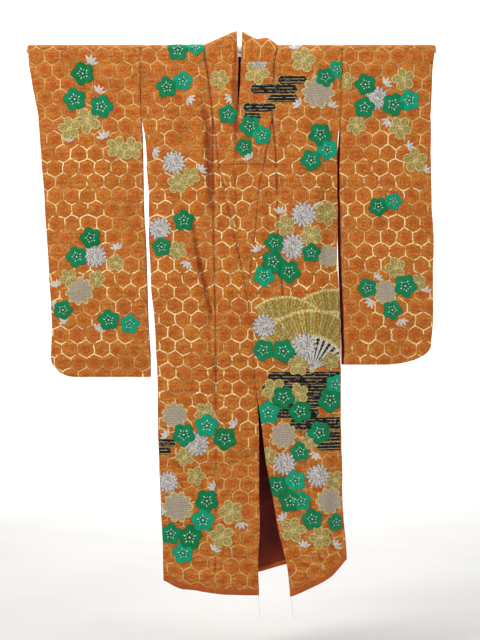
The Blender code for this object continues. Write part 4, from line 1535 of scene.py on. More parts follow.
def mist_band(length, height):
    """A level band with round ends and a gold edge, in the units of half its height."""
    half_length = length / height
    deselect_all()
    bpy.ops.mesh.primitive_grid_add(x_subdivisions=44, y_subdivisions=9, size=2)
    band = bpy.context.object
    for vertex in band.data.vertices:
        across = math.sin(vertex.co.x * math.pi / 2)
        edge = max(abs(across) * half_length - (half_length - 1), 0)
        rows = math.copysign(abs(vertex.co.y) ** 0.55, vertex.co.y)
        vertex.co.x = across * half_length
        vertex.co.y = rows * math.sqrt(max(1 - edge * edge, 0.0004))
        vertex.co.z = 0.5 if abs(rows) < 0.999 and abs(across) < 0.999 else 0.0

    def pick(middle):
        edge = max(abs(middle.x) - (half_length - 1), 0)
        return GOLD if math.hypot(edge, middle.y) > 0.85 else BLACK

    paint_faces(band, pick)
    return taken(band)


class Region:
    """One side of a body half or a sleeve, on which patterns are laid."""

    def __init__(self, part, half, front):
        self.part, self.half, self.front = part, half, front
        self.way = FRONT if front else BACK
        self.name = f"{part}_{half.name}_{'front' if front else 'back'}"

    def limits(self, drop):
        """The lowest and highest x at each drop."""
        if self.part == "sleeve":
            lines = SLEEVE_LINES[self.half.name]
            pair = (lines["inner"](drop), outer_at(self.half, drop))
        elif self.front:
            pair = (LINES[self.half.name]["free"](drop), side_at(self.half, drop))
        else:
            pair = (np.full(np.shape(drop), CENTRE_BACK), side_at(self.half, drop))
        low, high = np.minimum(*pair), np.maximum(*pair)
        return low + EDGE_MARGIN, high - EDGE_MARGIN

    def bottom(self, x):
        """The drop at which patterns end."""
        if self.part == "sleeve":
            last, corner = self.half.sleeves[-1], self.half.corner
            into = np.clip((np.abs(x) - abs(last.outer) + corner.width) / corner.width, 0, 1)
            return last.level + corner.height * np.sqrt(1 - into * into) - EDGE_MARGIN
        hem = HEMS[self.half.name] if self.front else BACK_HEM_LINE
        return hem(x) - ROLL_HEIGHT - EDGE_MARGIN

    def top(self, x):
        """Patterns go on over the rod, but end below the neck."""
        neck = FRONT_NECK_LIMIT if self.front else BACK_NECK_DROP + 2
        in_neck = (x > RIGHT_FRONT[0].seam) & (x < LEFT_FRONT[0].seam)
        return np.where(in_neck & (self.part == "body"), neck, -BEND_LENGTH)

    def on_silk(self, x, drop, height):
        """The places at a height over the silk, also where it is bent over the rod."""
        below = np.maximum(drop, BEND_END)
        bend = BEND_RADIUS + WALL
        depth = mix(bend, self.outer(x, below), np.clip(drop / BEND_END, 0, 1)) + height
        angle = np.maximum(-drop, 0) / bend
        y = np.where(drop > 0, depth, (bend + height) * np.cos(angle))
        z = np.where(drop > 0, -drop, (bend + height) * np.sin(angle))
        return np.stack([x, self.way[1] * y, z], axis=1)

    def outer(self, x, drop):
        """How far the outer face stands from the rod's plane."""
        if self.part == "sleeve":
            return sleeve_depth(x, drop, self.half, self.way) + WALL
        if not self.front:
            return back_depth(x, drop, self.half) + WALL
        lines = LINES[self.half.name]
        seam = np.where(drop <= CUFF_END, lines["seam"](drop), lines["collar"](drop))
        free = lines["free"](drop)
        on_collar = (np.abs(x - free) < np.abs(seam - free)) & (drop < COLLAR_END)
        doubled = COLLAR_WALL + SEAM_GAP + OVER_COLLAR_WALL
        collar_wall = np.where(drop < OVER_COLLAR_END, doubled, COLLAR_WALL)
        return front_depth(x, drop, self.half) + np.where(on_collar, collar_wall, WALL)


class Layer:
    """All patterns of one region, gathered into one mesh."""

    def __init__(self, region):
        self.region = region
        self.places, self.faces, self.kinds, self.flat, self.tones = [], [], [], [], []
        self.count = 0

    def lay(self, template, x, drop, size, turn, lift, tone):
        """Lays a copy of a template on the cloth, cut off where the cloth ends."""
        places, faces, kinds = template
        angle = math.radians(turn)
        across = size * (places[:, 0] * math.cos(angle) - places[:, 1] * math.sin(angle))
        up = size * (places[:, 0] * math.sin(angle) + places[:, 1] * math.cos(angle))
        at_x, at_drop = x + across, drop - up
        low, high = self.region.limits(at_drop)
        top, bottom = self.region.top(at_x), self.region.bottom(at_x)
        inside = (at_x > low) & (at_x < high) & (at_drop > top) & (at_drop < bottom)
        at_drop = np.clip(at_drop, top, bottom)
        at_x = np.clip(at_x, low, high)
        height = np.where(places[:, 2] <= 0, -SUNK, lift + places[:, 2])
        placed = self.region.on_silk(at_x, at_drop, height)
        kept = [face for face in range(len(faces)) if inside[faces[face]].any()]
        if not kept:
            return
        for face in kept:
            corners = [corner + self.count for corner in faces[face]]
            self.faces.append(corners if self.region.front else corners[::-1])
        self.kinds += [int(kinds[face]) for face in kept]
        self.places.append(placed)
        self.flat.append(places[:, :2] * size)
        self.tones.append(np.full(len(places), tone))
        self.count += len(places)

    def build(self, name, finishes):
        places = np.concatenate(self.places)
        used = np.zeros(len(places), bool)
        used[[corner for face in self.faces for corner in face]] = True
        renumbered = np.cumsum(used) - 1
        faces = [[int(renumbered[corner]) for corner in face] for face in self.faces]
        mesh = bpy.data.meshes.new(name)
        mesh.from_pydata((places[used] * MM).tolist(), [], faces)
        corners = np.zeros(len(mesh.loops), int)
        mesh.loops.foreach_get("vertex_index", corners)
        flat = np.concatenate(self.flat)[used] * MM
        layer = mesh.uv_layers.new(name="cloth")
        layer.data.foreach_set("uv", flat[corners].astype(np.float32).ravel())
        tone = mesh.attributes.new("tone", "FLOAT", "POINT")
        tone.data.foreach_set("value", np.concatenate(self.tones)[used].astype(np.float32))
        mesh.polygons.foreach_set("material_index", np.array(self.kinds, np.int32))
        mesh.shade_smooth()
        mesh.set_sharp_from_angle(angle=math.radians(60))
        return add_piece(name, mesh, finishes)


def regions():
    """Each side of the body halves and sleeves, in the order in which patterns are laid and drawn."""
    for part, half, front in itertools.product(("body", "sleeve"), HALVES, (True, False)):
        yield Region(part, half, front)


def lay_patterns(finishes):
    """Lays the bands, fans and flowers on each side of the body halves and sleeves."""
    templates = {
        "plum": five_petals(),
        "gold": outlined_petals(),
        "silver": ray_petals(),
        "woven": woven_round(),
        "leaf": leaf_tips(),
    }
    templates["teal"] = templates["plum"]
    fan = folding_fan()
    draws = np.random.default_rng(PATTERN_SEED)
    for region in regions():
        layer = Layer(region)
        place = (region.part, region.half.name, region.front)
        for number, band in enumerate(row for row in BANDS if row[:3] == place):
            made = mist_band(band.length, band.height)
            layer.lay(made, band.x, band.drop, band.height / 2, 0, 0.25 + 0.03 * number, 0)
        fans = [row for row in FANS if row[:3] == place]
        for number, row in enumerate(fans):
            turn = row.turn + 90 + FAN_SWEEP / 2
            layer.lay(fan, row.x, row.drop, row.size, turn, 0.4 + FAN_LIFT * number, 0)
        motifs = FRONT_MOTIFS[place[:2]] if region.front else scattered(*place[:2], draws)
        for number, motif in enumerate(motifs):
            tone = draws.uniform(0.0, 0.25) + (0.6 if motif.kind == "teal" else 0)
            away = [math.hypot(motif.x - row.x, motif.drop - row.drop) for row in fans]
            under = sum(distance < row.size + FAN_REACH for distance, row in zip(away, fans))
            lift = LIFTS[motif.kind] + 0.06 * (number % 7) + FAN_LIFT * under
            turn = draws.uniform(0, 360)
            layer.lay(templates[motif.kind], motif.x, motif.drop, motif.size, turn, lift, tone)
        layer.build(f"patterns_{region.name}", finishes)


def centre_back_at(drop):
    return CENTRE_BACK


def seams_of(region):
    """The sewn lines of a region: where each is at a drop, its start and end, and the stitches' distance."""
    half = region.half
    side, low = half.side, STRETCH_FROM + 120
    if region.part == "sleeve":
        inner, end = SLEEVE_LINES[half.name]["inner"], half.sleeves[-1].level - 10
        outer = functools.partial(outer_at, half)
        return [(inner, 4, CUFF_END - 4, side * 3.2), (outer, CUFF_END + 4, end, side * -3.5)]
    armhole = (functools.partial(side_at, half), 4, CUFF_END - 4, side * -3.2)
    if not region.front:
        return [(centre_back_at, BACK_NECK_DROP + 6, low, side * STITCH_FROM_SEAM), armhole]
    lines = LINES[half.name]
    seam = (lines["seam"], 4, low, side * STITCH_FROM_SEAM)
    return [seam, (lines["collar"], CUFF_END + 6, COLLAR_END - 6, side * STITCH_FROM_SEAM), armhole]


def lay_stitches(finishes):
    """Lays the small stitches of the seams and hems, the same one each time."""
    stitch = taken(seeds(1, 0, 1.0, 0.30, 0.30, 0))
    for region in regions():
        layer = Layer(region)
        for line, start, end, beside in seams_of(region):
            for drop in np.arange(start, end, STITCH_STEP):
                at_x = float(line(drop))
                slope = float(line(drop + 4)) - at_x
                turn = math.degrees(math.atan2(-4, slope))
                layer.lay(stitch, at_x + beside, drop, STITCH_SIZE, turn, STITCH_LIFT, 0)
        low, high = region.limits(np.array(STRETCH_FROM if region.part == "body" else CUFF_END))
        for at_x in np.arange(float(low) + 8, float(high) - 8, STITCH_STEP):
            drop = float(region.bottom(np.array(at_x))) - STITCH_FROM_HEM
            layer.lay(stitch, at_x, drop, STITCH_SIZE, 0, STITCH_LIFT, 0)
        layer.build(f"stitches_{region.name}", finishes)


def scattered(part, half, draws):
    """Flowers in the clusters of one part's back, none much nearer than they are wide."""
    motifs = []
    for cluster in BACK_CLUSTERS:
        if (cluster.part, cluster.half) != (part, half):
            continue
        for number in range(cluster.count):
            for _ in range(CLUSTER_TRIES):
                angle, reach = draws.uniform(0, 2 * math.pi), math.sqrt(draws.uniform(0, 1))
                x = cluster.x + cluster.width * reach * math.cos(angle)
                drop = cluster.drop + cluster.height * reach * math.sin(angle)
                if all(math.hypot(x - other.x, drop - other.drop) > CLUSTER_SPACING for other in motifs):
                    break
            kind = CLUSTER_KINDS[number % len(CLUSTER_KINDS)]
            size = CLUSTER_SIZES.get(kind, CLUSTER_SIZE) * draws.uniform(0.9, 1.1)
            motifs.append(Motif(kind, x, drop, size))
    order = {"leaf": 0, "woven": 1}
    return sorted(motifs, key=lambda motif: order.get(motif.kind, 2))


# Finishes


class Finish:
    """A material put together node by node."""

    def __init__(self, name):
        self.material = bpy.data.materials.new(name)
        self.material.use_nodes = True
        self.tree = self.material.node_tree
        self.shader = self.tree.nodes["Principled BSDF"]

    def add(self, kind, sockets=None, **settings):
        node = self.tree.nodes.new(kind)
        for key, value in settings.items():
            setattr(node, key, value)
        for key, value in (sockets or {}).items():
            self.put(node.inputs[key], value)
        return node

    def put(self, socket, value):
        if isinstance(value, bpy.types.NodeSocket):
            self.tree.links.new(value, socket)
        else:
            socket.default_value = value

    def math(self, operation, *values, clamp=False):
        node = self.add("ShaderNodeMath", operation=operation, use_clamp=clamp)
        for socket, value in zip(node.inputs, values):
            self.put(socket, value)
        return node.outputs[0]

    def times(self, first, second, **settings):
        return self.math("MULTIPLY", first, second, **settings)

    def plus(self, first, second, **settings):
        return self.math("ADD", first, second, **settings)

    def axis(self, value, number):
        """One of a vector's three numbers."""
        return self.add("ShaderNodeSeparateXYZ", {0: value}).outputs[number]

    def angle(self, value):
        """The angle at which a vector points from the middle."""
        split = self.add("ShaderNodeSeparateXYZ", {0: value}).outputs
        return self.math("ARCTAN2", split[1], split[0])

    def attribute(self, name):
        return self.add("ShaderNodeAttribute", attribute_name=name).outputs["Fac"]

    def vector(self, operation, *values):
        node = self.add("ShaderNodeVectorMath", operation=operation)
        for socket, value in zip(node.inputs, values):
            self.put(socket, value)
        return node.outputs["Value" if operation in ("DOT_PRODUCT", "LENGTH") else "Vector"]

    def ramp(self, value, low, high, start=0.0, end=1.0):
        """A soft step of the value between low and high, going from start to end."""
        node = self.add(
            "ShaderNodeMapRange",
            {"Value": value, "From Min": low, "From Max": high, "To Min": start, "To Max": end},
            interpolation_type="SMOOTHSTEP",
        )
        return node.outputs["Result"]

    def blend(self, share, first, second, kind="MIX"):
        """A colour between two others."""
        node = self.add("ShaderNodeMix", data_type="RGBA", blend_type=kind)
        self.put(node.inputs[0], share)
        for socket, value in ((node.inputs[6], first), (node.inputs[7], second)):
            self.put(socket, value if isinstance(value, bpy.types.NodeSocket) else (*value[:3], 1))
        return node.outputs[2]

    def noise(self, where, scale, detail=2.0, rough=0.5):
        sockets = {"Vector": where, "Scale": scale, "Detail": detail, "Roughness": rough}
        return self.add("ShaderNodeTexNoise", sockets).outputs["Fac"]

    def cloth_map(self):
        return self.add("ShaderNodeUVMap", uv_map="cloth").outputs[0]

    def places(self):
        return self.add("ShaderNodeTexCoord").outputs["Object"]

    def bump(self, height, distance, strength=1.0):
        node = self.add("ShaderNodeBump", {"Height": height, "Distance": distance, "Strength": strength})
        self.put(self.shader.inputs["Normal"], node.outputs[0])

    def set(self, **values):
        for key, value in values.items():
            self.put(self.shader.inputs[key.replace("_", " ").title().replace("Ior", "IOR")], value)
        return self.material


def tinted(base, shares):
    """A colour with each of its three numbers multiplied, up to 1."""
    return tuple(min(number * share, 1) for number, share in zip(base[:3], shares))


def hexagon_cells(f, flat, pitch):
    """Where a place is in its hexagon, its distance to the middle and the edge, and the cell's number."""
    bent = f.add("ShaderNodeTexNoise", {"Vector": flat, "Scale": 30.0, "Detail": 2.0}).outputs["Color"]
    bent = f.vector("MULTIPLY", f.vector("SUBTRACT", bent, (0.5, 0.5, 0.5)), (0.24, 0.24, 0.24))
    scaled = f.vector("MULTIPLY", flat, (1 / pitch, 1 / pitch, 1 / pitch))
    place = f.vector("MULTIPLY", f.vector("ADD", scaled, bent), (1.0, 1.0, 0.0))
    repeat, middle = (1.0, math.sqrt(3), 1.0), (0.5, math.sqrt(3) / 2, 0.0)
    first, second = (
        f.vector("SUBTRACT", f.vector("WRAP", at, repeat, (0.0, 0.0, 0.0)), middle)
        for at in (place, f.vector("SUBTRACT", place, middle))
    )
    nearer = f.math(
        "LESS_THAN", f.vector("DOT_PRODUCT", first, first), f.vector("DOT_PRODUCT", second, second)
    )
    cell = f.add("ShaderNodeMix", {0: nearer}, data_type="VECTOR")
    f.put(cell.inputs[4], second)
    f.put(cell.inputs[5], first)
    cell = cell.outputs[1]
    size = f.vector("ABSOLUTE", cell)
    across = f.axis(size, 0)
    edge = f.math("MAXIMUM", f.vector("DOT_PRODUCT", size, (0.5, math.sqrt(3) / 2, 0.0)), across)
    centre = f.vector("ADD", f.vector("SUBTRACT", place, cell), (0.05, 0.05, 0.0))
    centre = f.vector("SNAP", centre, (0.25, 0.25, 1.0))
    random = f.add("ShaderNodeTexWhiteNoise", {"Vector": centre}).outputs["Value"]
    return cell, f.vector("LENGTH", cell), edge, random


def line_at(f, value, middle, half_width, soft=0.012):
    """1 on a thin line where the value is near its middle, 0 elsewhere."""
    rise = f.ramp(value, middle - half_width - soft, middle - half_width)
    fall = f.ramp(value, middle + half_width, middle + half_width + soft, 1.0, 0.0)
    return f.times(rise, fall)


def lattice_silk(settings):
    """Orange crepe silk with a tortoiseshell lattice of gold thread and tone-on-tone flowers in its cells."""
    f = Finish("orange_lattice_silk")
    flat, solid = f.cloth_map(), f.places()
    cell, radius, edge, random = hexagon_cells(f, flat, settings.lattice_pitch)
    angle = f.angle(cell)

    # Lines: the gold outline with a dark line on each side, a fainter one inside, and a flower in the middle.
    outline = f.ramp(edge, 0.452, 0.474)
    beside = line_at(f, edge, 0.418, 0.012)
    inner_ring = line_at(f, edge, 0.335, 0.010)
    petals = f.times(f.math("COSINE", f.times(angle, 6.0)), 0.055)
    flower_edge = f.math("SUBTRACT", radius, petals)
    flower = f.ramp(flower_edge, 0.225, 0.19)
    flower_line = line_at(f, flower_edge, 0.215, 0.012)
    heart = f.ramp(radius, 0.085, 0.06)
    worn = f.ramp(f.noise(flat, 62.0, 2.0, 0.65), 0.36, 0.60)

    # Painted highlights: the gold thread is painted bright where it would catch the light, in patches and
    # broken strokes that are strongest at mid height, and in streaks beside the seams.
    height = f.axis(solid, 2)
    upper = f.ramp(height, -0.08, -0.45, 0.10, 1.0)
    lower = f.ramp(height, -1.35, -1.02, 0.22, 1.0)
    patches = f.ramp(f.noise(solid, 7.5, 2.0, 0.6), 0.37, 0.56)
    patches = f.times(patches, f.times(upper, lower))
    long_strokes = f.ramp(f.noise(flat, 38.0, 1.0), 0.38, 0.52)
    strokes = f.times(long_strokes, f.ramp(f.noise(flat, 150.0, 2.0), 0.28, 0.48))
    shine = f.times(strokes, f.plus(f.times(patches, 1.15), 0.18), clamp=True)
    gold = f.times(outline, shine, clamp=True)
    from_seam = f.math("ABSOLUTE", f.axis(flat, 0))
    streaked = f.noise(f.vector("MULTIPLY", flat, (60.0, 1.6, 1.0)), 14.0, 1.0)
    beside_seam = f.times(f.ramp(from_seam, 0.014, 0.008), f.ramp(from_seam, 0.003, 0.006))
    streaks = f.times(beside_seam, f.ramp(streaked, 0.58, 0.68))
    gold = f.math("MAXIMUM", gold, f.times(streaks, 0.55))

    # Colours.
    base = settings.silk
    deep = tinted(base, (0.70, 0.52, 0.40))
    light = tinted(base, (1.10, 1.24, 1.45))
    cloud = f.ramp(f.noise(solid, 12.0, 4.0, 0.65), 0.30, 0.70)
    tone = f.blend(cloud, deep, light)
    tone = f.blend(f.times(random, 0.45), tone, tinted(base, (0.9, 0.72, 0.6)))
    grain = f.ramp(f.noise(flat, 420.0, 3.0, 0.75), 0.32, 0.72)
    tone = f.blend(f.times(grain, 0.40), tone, light)
    mottle = f.noise(flat, 135.0, 3.0, 0.75)
    tone = f.blend(f.ramp(mottle, 0.50, 0.34, 0.0, 0.75), tone, (0.29, 0.062, 0.004))
    tone = f.blend(f.ramp(mottle, 0.51, 0.64, 0.0, 0.75), tone, (0.70, 0.32, 0.06))
    puckers = f.noise(f.vector("MULTIPLY", solid, (1.0, 1.0, 4.5)), 26.0, 3.0, 0.6)
    # Painted shade and painted highlight on the level puckers, stronger towards the hem.
    near_hem = f.ramp(height, -0.9, -1.5, 1.0, 1.4)
    tone = f.blend(f.times(near_hem, f.ramp(puckers, 0.48, 0.34, 0.0, 0.55)), tone, (0.30, 0.060, 0.004))
    tone = f.blend(f.times(near_hem, f.ramp(puckers, 0.54, 0.68, 0.0, 0.55)), tone, (0.82, 0.34, 0.06))
    red = (0.58, 0.075, 0.008)
    picked = f.ramp(random, 0.45, 0.75)
    smudge = f.times(f.ramp(f.noise(flat, 52.0, 3.0, 0.7), 0.48, 0.62), f.ramp(edge, 0.44, 0.30))
    red_flower = f.times(flower, f.times(picked, 0.55))
    tone = f.blend(f.times(f.math("MAXIMUM", red_flower, smudge), 0.70), tone, red)
    brown = (0.215, 0.062, 0.010)
    marks = f.math("MAXIMUM", f.times(inner_ring, worn), f.math("MAXIMUM", flower_line, heart))
    tone = f.blend(f.times(marks, 0.55), tone, brown)
    tan = tinted(base, (1.18, 1.6, 2.6))
    fine_lines = f.math("MAXIMUM", line_at(f, edge, 0.295, 0.012), line_at(f, edge, 0.380, 0.008))
    tone = f.blend(f.times(fine_lines, f.times(worn, 0.85)), tone, tan)
    dull = f.blend(f.ramp(f.noise(solid, 16.0, 2.0), 0.42, 0.62), (0.37, 0.12, 0.018), settings.dull_gold)
    tone = f.blend(f.times(outline, 0.80), tone, dull)
    tone = f.blend(f.times(beside, f.plus(f.times(worn, 0.35), 0.12)), tone, brown)
    # The painted highlights of the gold thread.
    tone = f.blend(gold, tone, settings.bright_gold)
    # Painted shade in the creases, from the fold attribute, made uneven with noise.
    fold = f.attribute("fold")
    uneven = f.math("SUBTRACT", f.noise(flat, 34.0, 3.0, 0.6), 0.5)
    fold = f.plus(fold, f.times(f.times(uneven, 2.2), f.ramp(fold, 0.05, 0.4)))
    tone = f.blend(f.ramp(fold, 0.15, 0.9, 0.0, 0.68), tone, (0.25, 0.040, 0.004))
    seam_shade = f.times(f.ramp(from_seam, 0.0034, 0.0012), f.ramp(height, -1.25, -0.85, 0.2, 0.68))
    tone = f.blend(seam_shade, tone, (0.17, 0.035, 0.006))

    # The cells are puffed, and the crepe is fine and crinkled.
    puff = f.ramp(edge, 0.5, 0.24)
    crepe = f.noise(flat, 900.0, 3.0, 0.6)
    crinkle = f.noise(flat, 150.0, 3.0, 0.6)
    threads = f.math("SINE", f.times(f.axis(flat, 1), 7500.0))
    relief = f.times(puff, 1.1)
    for height_map, share in (
        (f.noise(solid, 22.0, 2.0), 3.0),
        (puckers, f.ramp(height, -1.1, -0.6, 5.0, 2.5)),
        (crinkle, 0.8),
        (crepe, 0.20),
        (threads, 0.02),
        (marks, 0.12),
        (gold, 0.14),
    ):
        relief = f.plus(relief, f.times(height_map, share))
    f.bump(relief, 0.0024, settings.crepe)
    roughness = f.plus(f.ramp(gold, 0.0, 1.0, 0.56, 0.36), f.times(crepe, 0.08))
    f.set(base_color=tone, roughness=roughness, metallic=f.times(gold, 0.2))
    f.set(sheen_weight=0.05, sheen_roughness=0.42, sheen_tint=(1.0, 0.66, 0.35, 1))
    return f.set(specular_ior_level=0.2)


def plain_silk(name, base, rib=3200.0, sheen=0.25, low_tone=None):
    """Plain lining or hem silk with a fine weave and a soft unevenness of colour."""
    f = Finish(name)
    solid = f.places()
    cloud = f.ramp(f.noise(solid, 14.0, 3.0, 0.6), 0.3, 0.7)
    tone = f.blend(cloud, tinted(base, [0.78] * 3), tinted(base, [1.18] * 3))
    slubs = f.noise(f.vector("MULTIPLY", solid, (1.0, 1.0, 9.0)), 120.0, 2.0, 0.6)
    tone = f.blend(f.ramp(slubs, 0.45, 0.8, 0.0, 0.3), tone, tinted(base, [1.5] * 3))
    height = f.axis(solid, 2)
    if low_tone is not None:
        tone = f.blend(f.ramp(height, -1.52, -1.68, 0.0, 0.8), tone, low_tone)
    rows = f.math("SINE", f.times(height, rib))
    relief = f.plus(f.times(rows, 0.12), f.times(f.noise(solid, 160.0, 3.0), 0.9))
    f.bump(relief, 0.0012, 0.6)
    f.set(base_color=tone, roughness=f.ramp(slubs, 0.3, 0.7, 0.44, 0.6))
    return f.set(sheen_weight=sheen, sheen_roughness=0.4, specular_ior_level=0.2)


def twisted_thread():
    f = Finish("twisted_cotton_thread")
    solid = f.places()
    twist = f.add(
        "ShaderNodeTexWave", {"Vector": solid, "Scale": 420.0, "Distortion": 1.5}, bands_direction="DIAGONAL"
    ).outputs["Fac"]
    tone = f.blend(twist, (0.62, 0.58, 0.50), (0.84, 0.82, 0.76))
    f.bump(twist, 0.0002, 0.6)
    return f.set(base_color=tone, roughness=0.8, sheen_weight=0.2)


def painted_wood():
    f = Finish("white_painted_wood")
    solid = f.places()
    brushed = f.noise(f.vector("MULTIPLY", solid, (3.0, 60.0, 60.0)), 14.0, 3.0, 0.6)
    tone = f.blend(f.ramp(brushed, 0.3, 0.7), (0.66, 0.66, 0.64), (0.78, 0.78, 0.755))
    f.bump(brushed, 0.0003, 0.5)
    return f.set(base_color=tone, roughness=f.ramp(brushed, 0.3, 0.7, 0.32, 0.46))


def petal_parts(f):
    """Where a place is in its flower, its angle and distance from the middle, and the flower's own tone."""
    flat = f.cloth_map()
    return flat, f.angle(flat), f.vector("LENGTH", flat), f.attribute("tone")


def green_petals(name, deep, light, edge):
    """Green satin-stitched silk, darker in a star round the middle."""
    f = Finish(name)
    flat, angle, radius, tone = petal_parts(f)
    cloud = f.ramp(f.noise(flat, 60.0, 2.0), 0.35, 0.7)
    share = f.plus(f.times(cloud, 0.25), tone, clamp=True)
    shade = f.blend(share, deep, light)
    rays = f.math("SINE", f.times(angle, 5.0))
    star = f.times(f.ramp(radius, 0.022, 0.006), f.ramp(rays, 0.1, 0.9, 0.35, 1.0))
    shade = f.blend(f.times(star, 0.8), shade, tinted(deep, [0.3] * 3))
    fine = f.math("SINE", f.times(angle, 110.0))
    shade = f.blend(f.ramp(f.noise(flat, 900.0, 2.0), 0.45, 0.8, 0.0, 0.3), shade, edge)
    relief = f.plus(f.times(fine, 0.12), f.noise(flat, 700.0, 2.0))
    f.bump(relief, 0.0006, 0.6)
    f.set(base_color=shade, roughness=f.ramp(cloud, 0, 1, 0.5, 0.65))
    return f.set(specular_ior_level=0.16)


def metal_thread(name, dark, light, flecks, count=90.0):
    """Couched metal thread in fine lines that follow a flower's petals, with painted glints in small
    near-white flecks.
    """
    f = Finish(name)
    flat, angle, radius, tone = petal_parts(f)
    lines = f.math("SINE", f.times(f.plus(radius, f.times(tone, 0.01)), 4200.0))
    rays = f.math("SINE", f.times(angle, count))
    strokes = f.plus(f.times(lines, 0.5), f.times(rays, 0.5))
    cloud = f.noise(flat, 170.0, 3.0, 0.7)
    share = f.ramp(f.plus(f.times(strokes, 0.12), cloud), 0.40, 0.60)
    shade = f.blend(share, dark, light)
    # Painted glints: near-white flecks of light on the thread, up to the given share.
    sparkle = f.ramp(f.noise(flat, 650.0, 2.0, 0.7), 0.58, 0.72, 0.0, flecks)
    shade = f.blend(sparkle, shade, (0.92, 0.90, 0.84))
    f.bump(f.plus(f.times(strokes, 0.4), cloud), 0.0009, 0.8)
    f.set(base_color=shade, roughness=f.ramp(cloud, 0.3, 0.7, 0.32, 0.5))
    return f.set(metallic=0.25, sheen_weight=0.1)


def woven_silver(name):
    """Silver and beige in a small check, as brocade is woven."""
    f = Finish(name)
    flat = f.cloth_map()
    check = f.add("ShaderNodeTexChecker", {"Vector": flat, "Scale": 210.0}).outputs["Fac"]
    brick = f.add("ShaderNodeTexChecker", {"Vector": flat, "Scale": 105.0}).outputs["Fac"]
    cloud = f.ramp(f.noise(flat, 120.0, 3.0, 0.7), 0.35, 0.65)
    shade = f.blend(f.times(check, 0.75), (0.24, 0.18, 0.10), (0.58, 0.52, 0.40))
    shade = f.blend(f.times(cloud, 0.5), shade, (0.47, 0.38, 0.20))
    shade = f.blend(f.times(brick, 0.3), shade, (0.50, 0.34, 0.34))
    rows = f.math("SINE", f.times(f.axis(f.places(), 2), 900.0))
    shade = f.blend(f.ramp(rows, 0.2, 0.9, 0.0, 0.55), shade, (0.22, 0.17, 0.09))
    # Painted glints: near-white flecks of light on the silver.
    sparkle = f.ramp(f.noise(flat, 520.0, 2.0, 0.7), 0.56, 0.7, 0.0, 0.8)
    shade = f.blend(sparkle, shade, (0.88, 0.86, 0.84))
    f.bump(f.plus(check, f.noise(flat, 500.0, 2.0)), 0.0007, 0.8)
    return f.set(base_color=shade, roughness=0.45, metallic=0.15)


def black_mist(name):
    """Black silk with silver flecks and fine broken lines of gold."""
    f = Finish(name)
    flat, solid = f.cloth_map(), f.places()
    flecks = f.add("ShaderNodeTexVoronoi", {"Vector": solid, "Scale": 240.0}).outputs["Distance"]
    patch = f.ramp(f.noise(solid, 48.0, 2.0, 0.6), 0.46, 0.60)
    silver = f.times(f.ramp(flecks, 0.30, 0.16), patch)
    rows = f.math("SINE", f.times(f.axis(flat, 1), 640.0))
    broken = f.ramp(f.noise(f.vector("MULTIPLY", solid, (1.0, 1.0, 3.0)), 60.0, 2.0, 0.6), 0.42, 0.55)
    gold = f.times(f.ramp(rows, 0.80, 0.93), broken)
    shade = f.blend(silver, (0.006, 0.004, 0.005), (0.66, 0.64, 0.66))
    shade = f.blend(gold, shade, (0.62, 0.43, 0.16))
    f.bump(f.plus(f.noise(flat, 700.0, 3.0), f.times(silver, 0.5)), 0.0008, 0.8)
    f.set(base_color=shade, roughness=f.ramp(silver, 0, 1, 0.5, 0.3))
    return f.set(specular_ior_level=0.14)


def pattern_finishes():
    green_petals("green_petal_silk", (0.0, 0.150, 0.034), (0.0, 0.37, 0.20), (0.0, 0.36, 0.12))
    green_petals("green_edge_silk", (0.0, 0.095, 0.022), (0.0, 0.24, 0.12), (0.06, 0.32, 0.09))
    metal_thread("gold_petal_thread", (0.20, 0.13, 0.018), (0.60, 0.46, 0.12), 0.3)
    metal_thread("pale_gold_thread", (0.42, 0.28, 0.06), (0.86, 0.74, 0.28), 0.4)
    metal_thread("silver_thread", (0.17, 0.13, 0.12), (0.84, 0.79, 0.74), 0.95, 60.0)
    # A darker silver, painted as the shade between a chrysanthemum's petals.
    metal_thread("grey_thread", (0.08, 0.065, 0.065), (0.30, 0.27, 0.28), 0.3)
    metal_thread("white_thread_knots", (0.48, 0.68, 0.52), (0.82, 0.92, 0.80), 0.6)
    woven_silver("woven_silver_silk")
    black_mist("black_mist_silk")
    metal_thread("white_silk_thread", (0.46, 0.42, 0.37), (0.88, 0.86, 0.81), 0.6)
    # A browner, darker gold, painted as the shade on one face of each fan pleat.
    metal_thread("brown_gold_fan_paper", (0.20, 0.10, 0.006), (0.55, 0.33, 0.025), 0.2)


# Settings


def colour_setting(name, description, value):
    return FloatVectorProperty(
        name=name, description=description, subtype="COLOR", default=value, min=0, max=1
    )


def number_setting(name, description, value, low, high, subtype="DISTANCE"):
    return FloatProperty(
        name=name, description=description, subtype=subtype, default=value, min=low, max=high
    )


class KimonoCloth(bpy.types.PropertyGroup):
    """Sizes and colours of the cloth."""

    silk: colour_setting("Silk", "Colour of the outer silk", (0.60, 0.162, 0.011))
    bright_gold: colour_setting(
        "Bright gold", "Colour of the lattice where its gold thread catches the light", (1.0, 0.76, 0.38)
    )
    dull_gold: colour_setting(
        "Dull gold", "Colour of the lattice where its gold thread is worn or shaded", (0.70, 0.34, 0.09)
    )
    lining: colour_setting("Lining", "Colour of the lining silk", (0.15, 0.010, 0.005))
    hem: colour_setting("Hem", "Colour of the padded hem rolls", (0.47, 0.090, 0.012))
    lattice_pitch: number_setting("Lattice pitch", "Width of one cell of the gold lattice", 0.0497, 0.01, 0.2)
    crepe: number_setting("Crepe", "How strongly the silk is crinkled", 0.8, 0, 1, "FACTOR")
    crease: number_setting("Creases", "Depth of the creases, as a share", 1.0, 0, 1.5, "NONE")
    puff: number_setting("Puffs", "Depth of the cloth's unevenness, as a share", 1.25, 0, 1.5, "NONE")
    cell: number_setting("Cell", "Length of one cell of the cloth's mesh", 0.006, 0.004, 0.02)


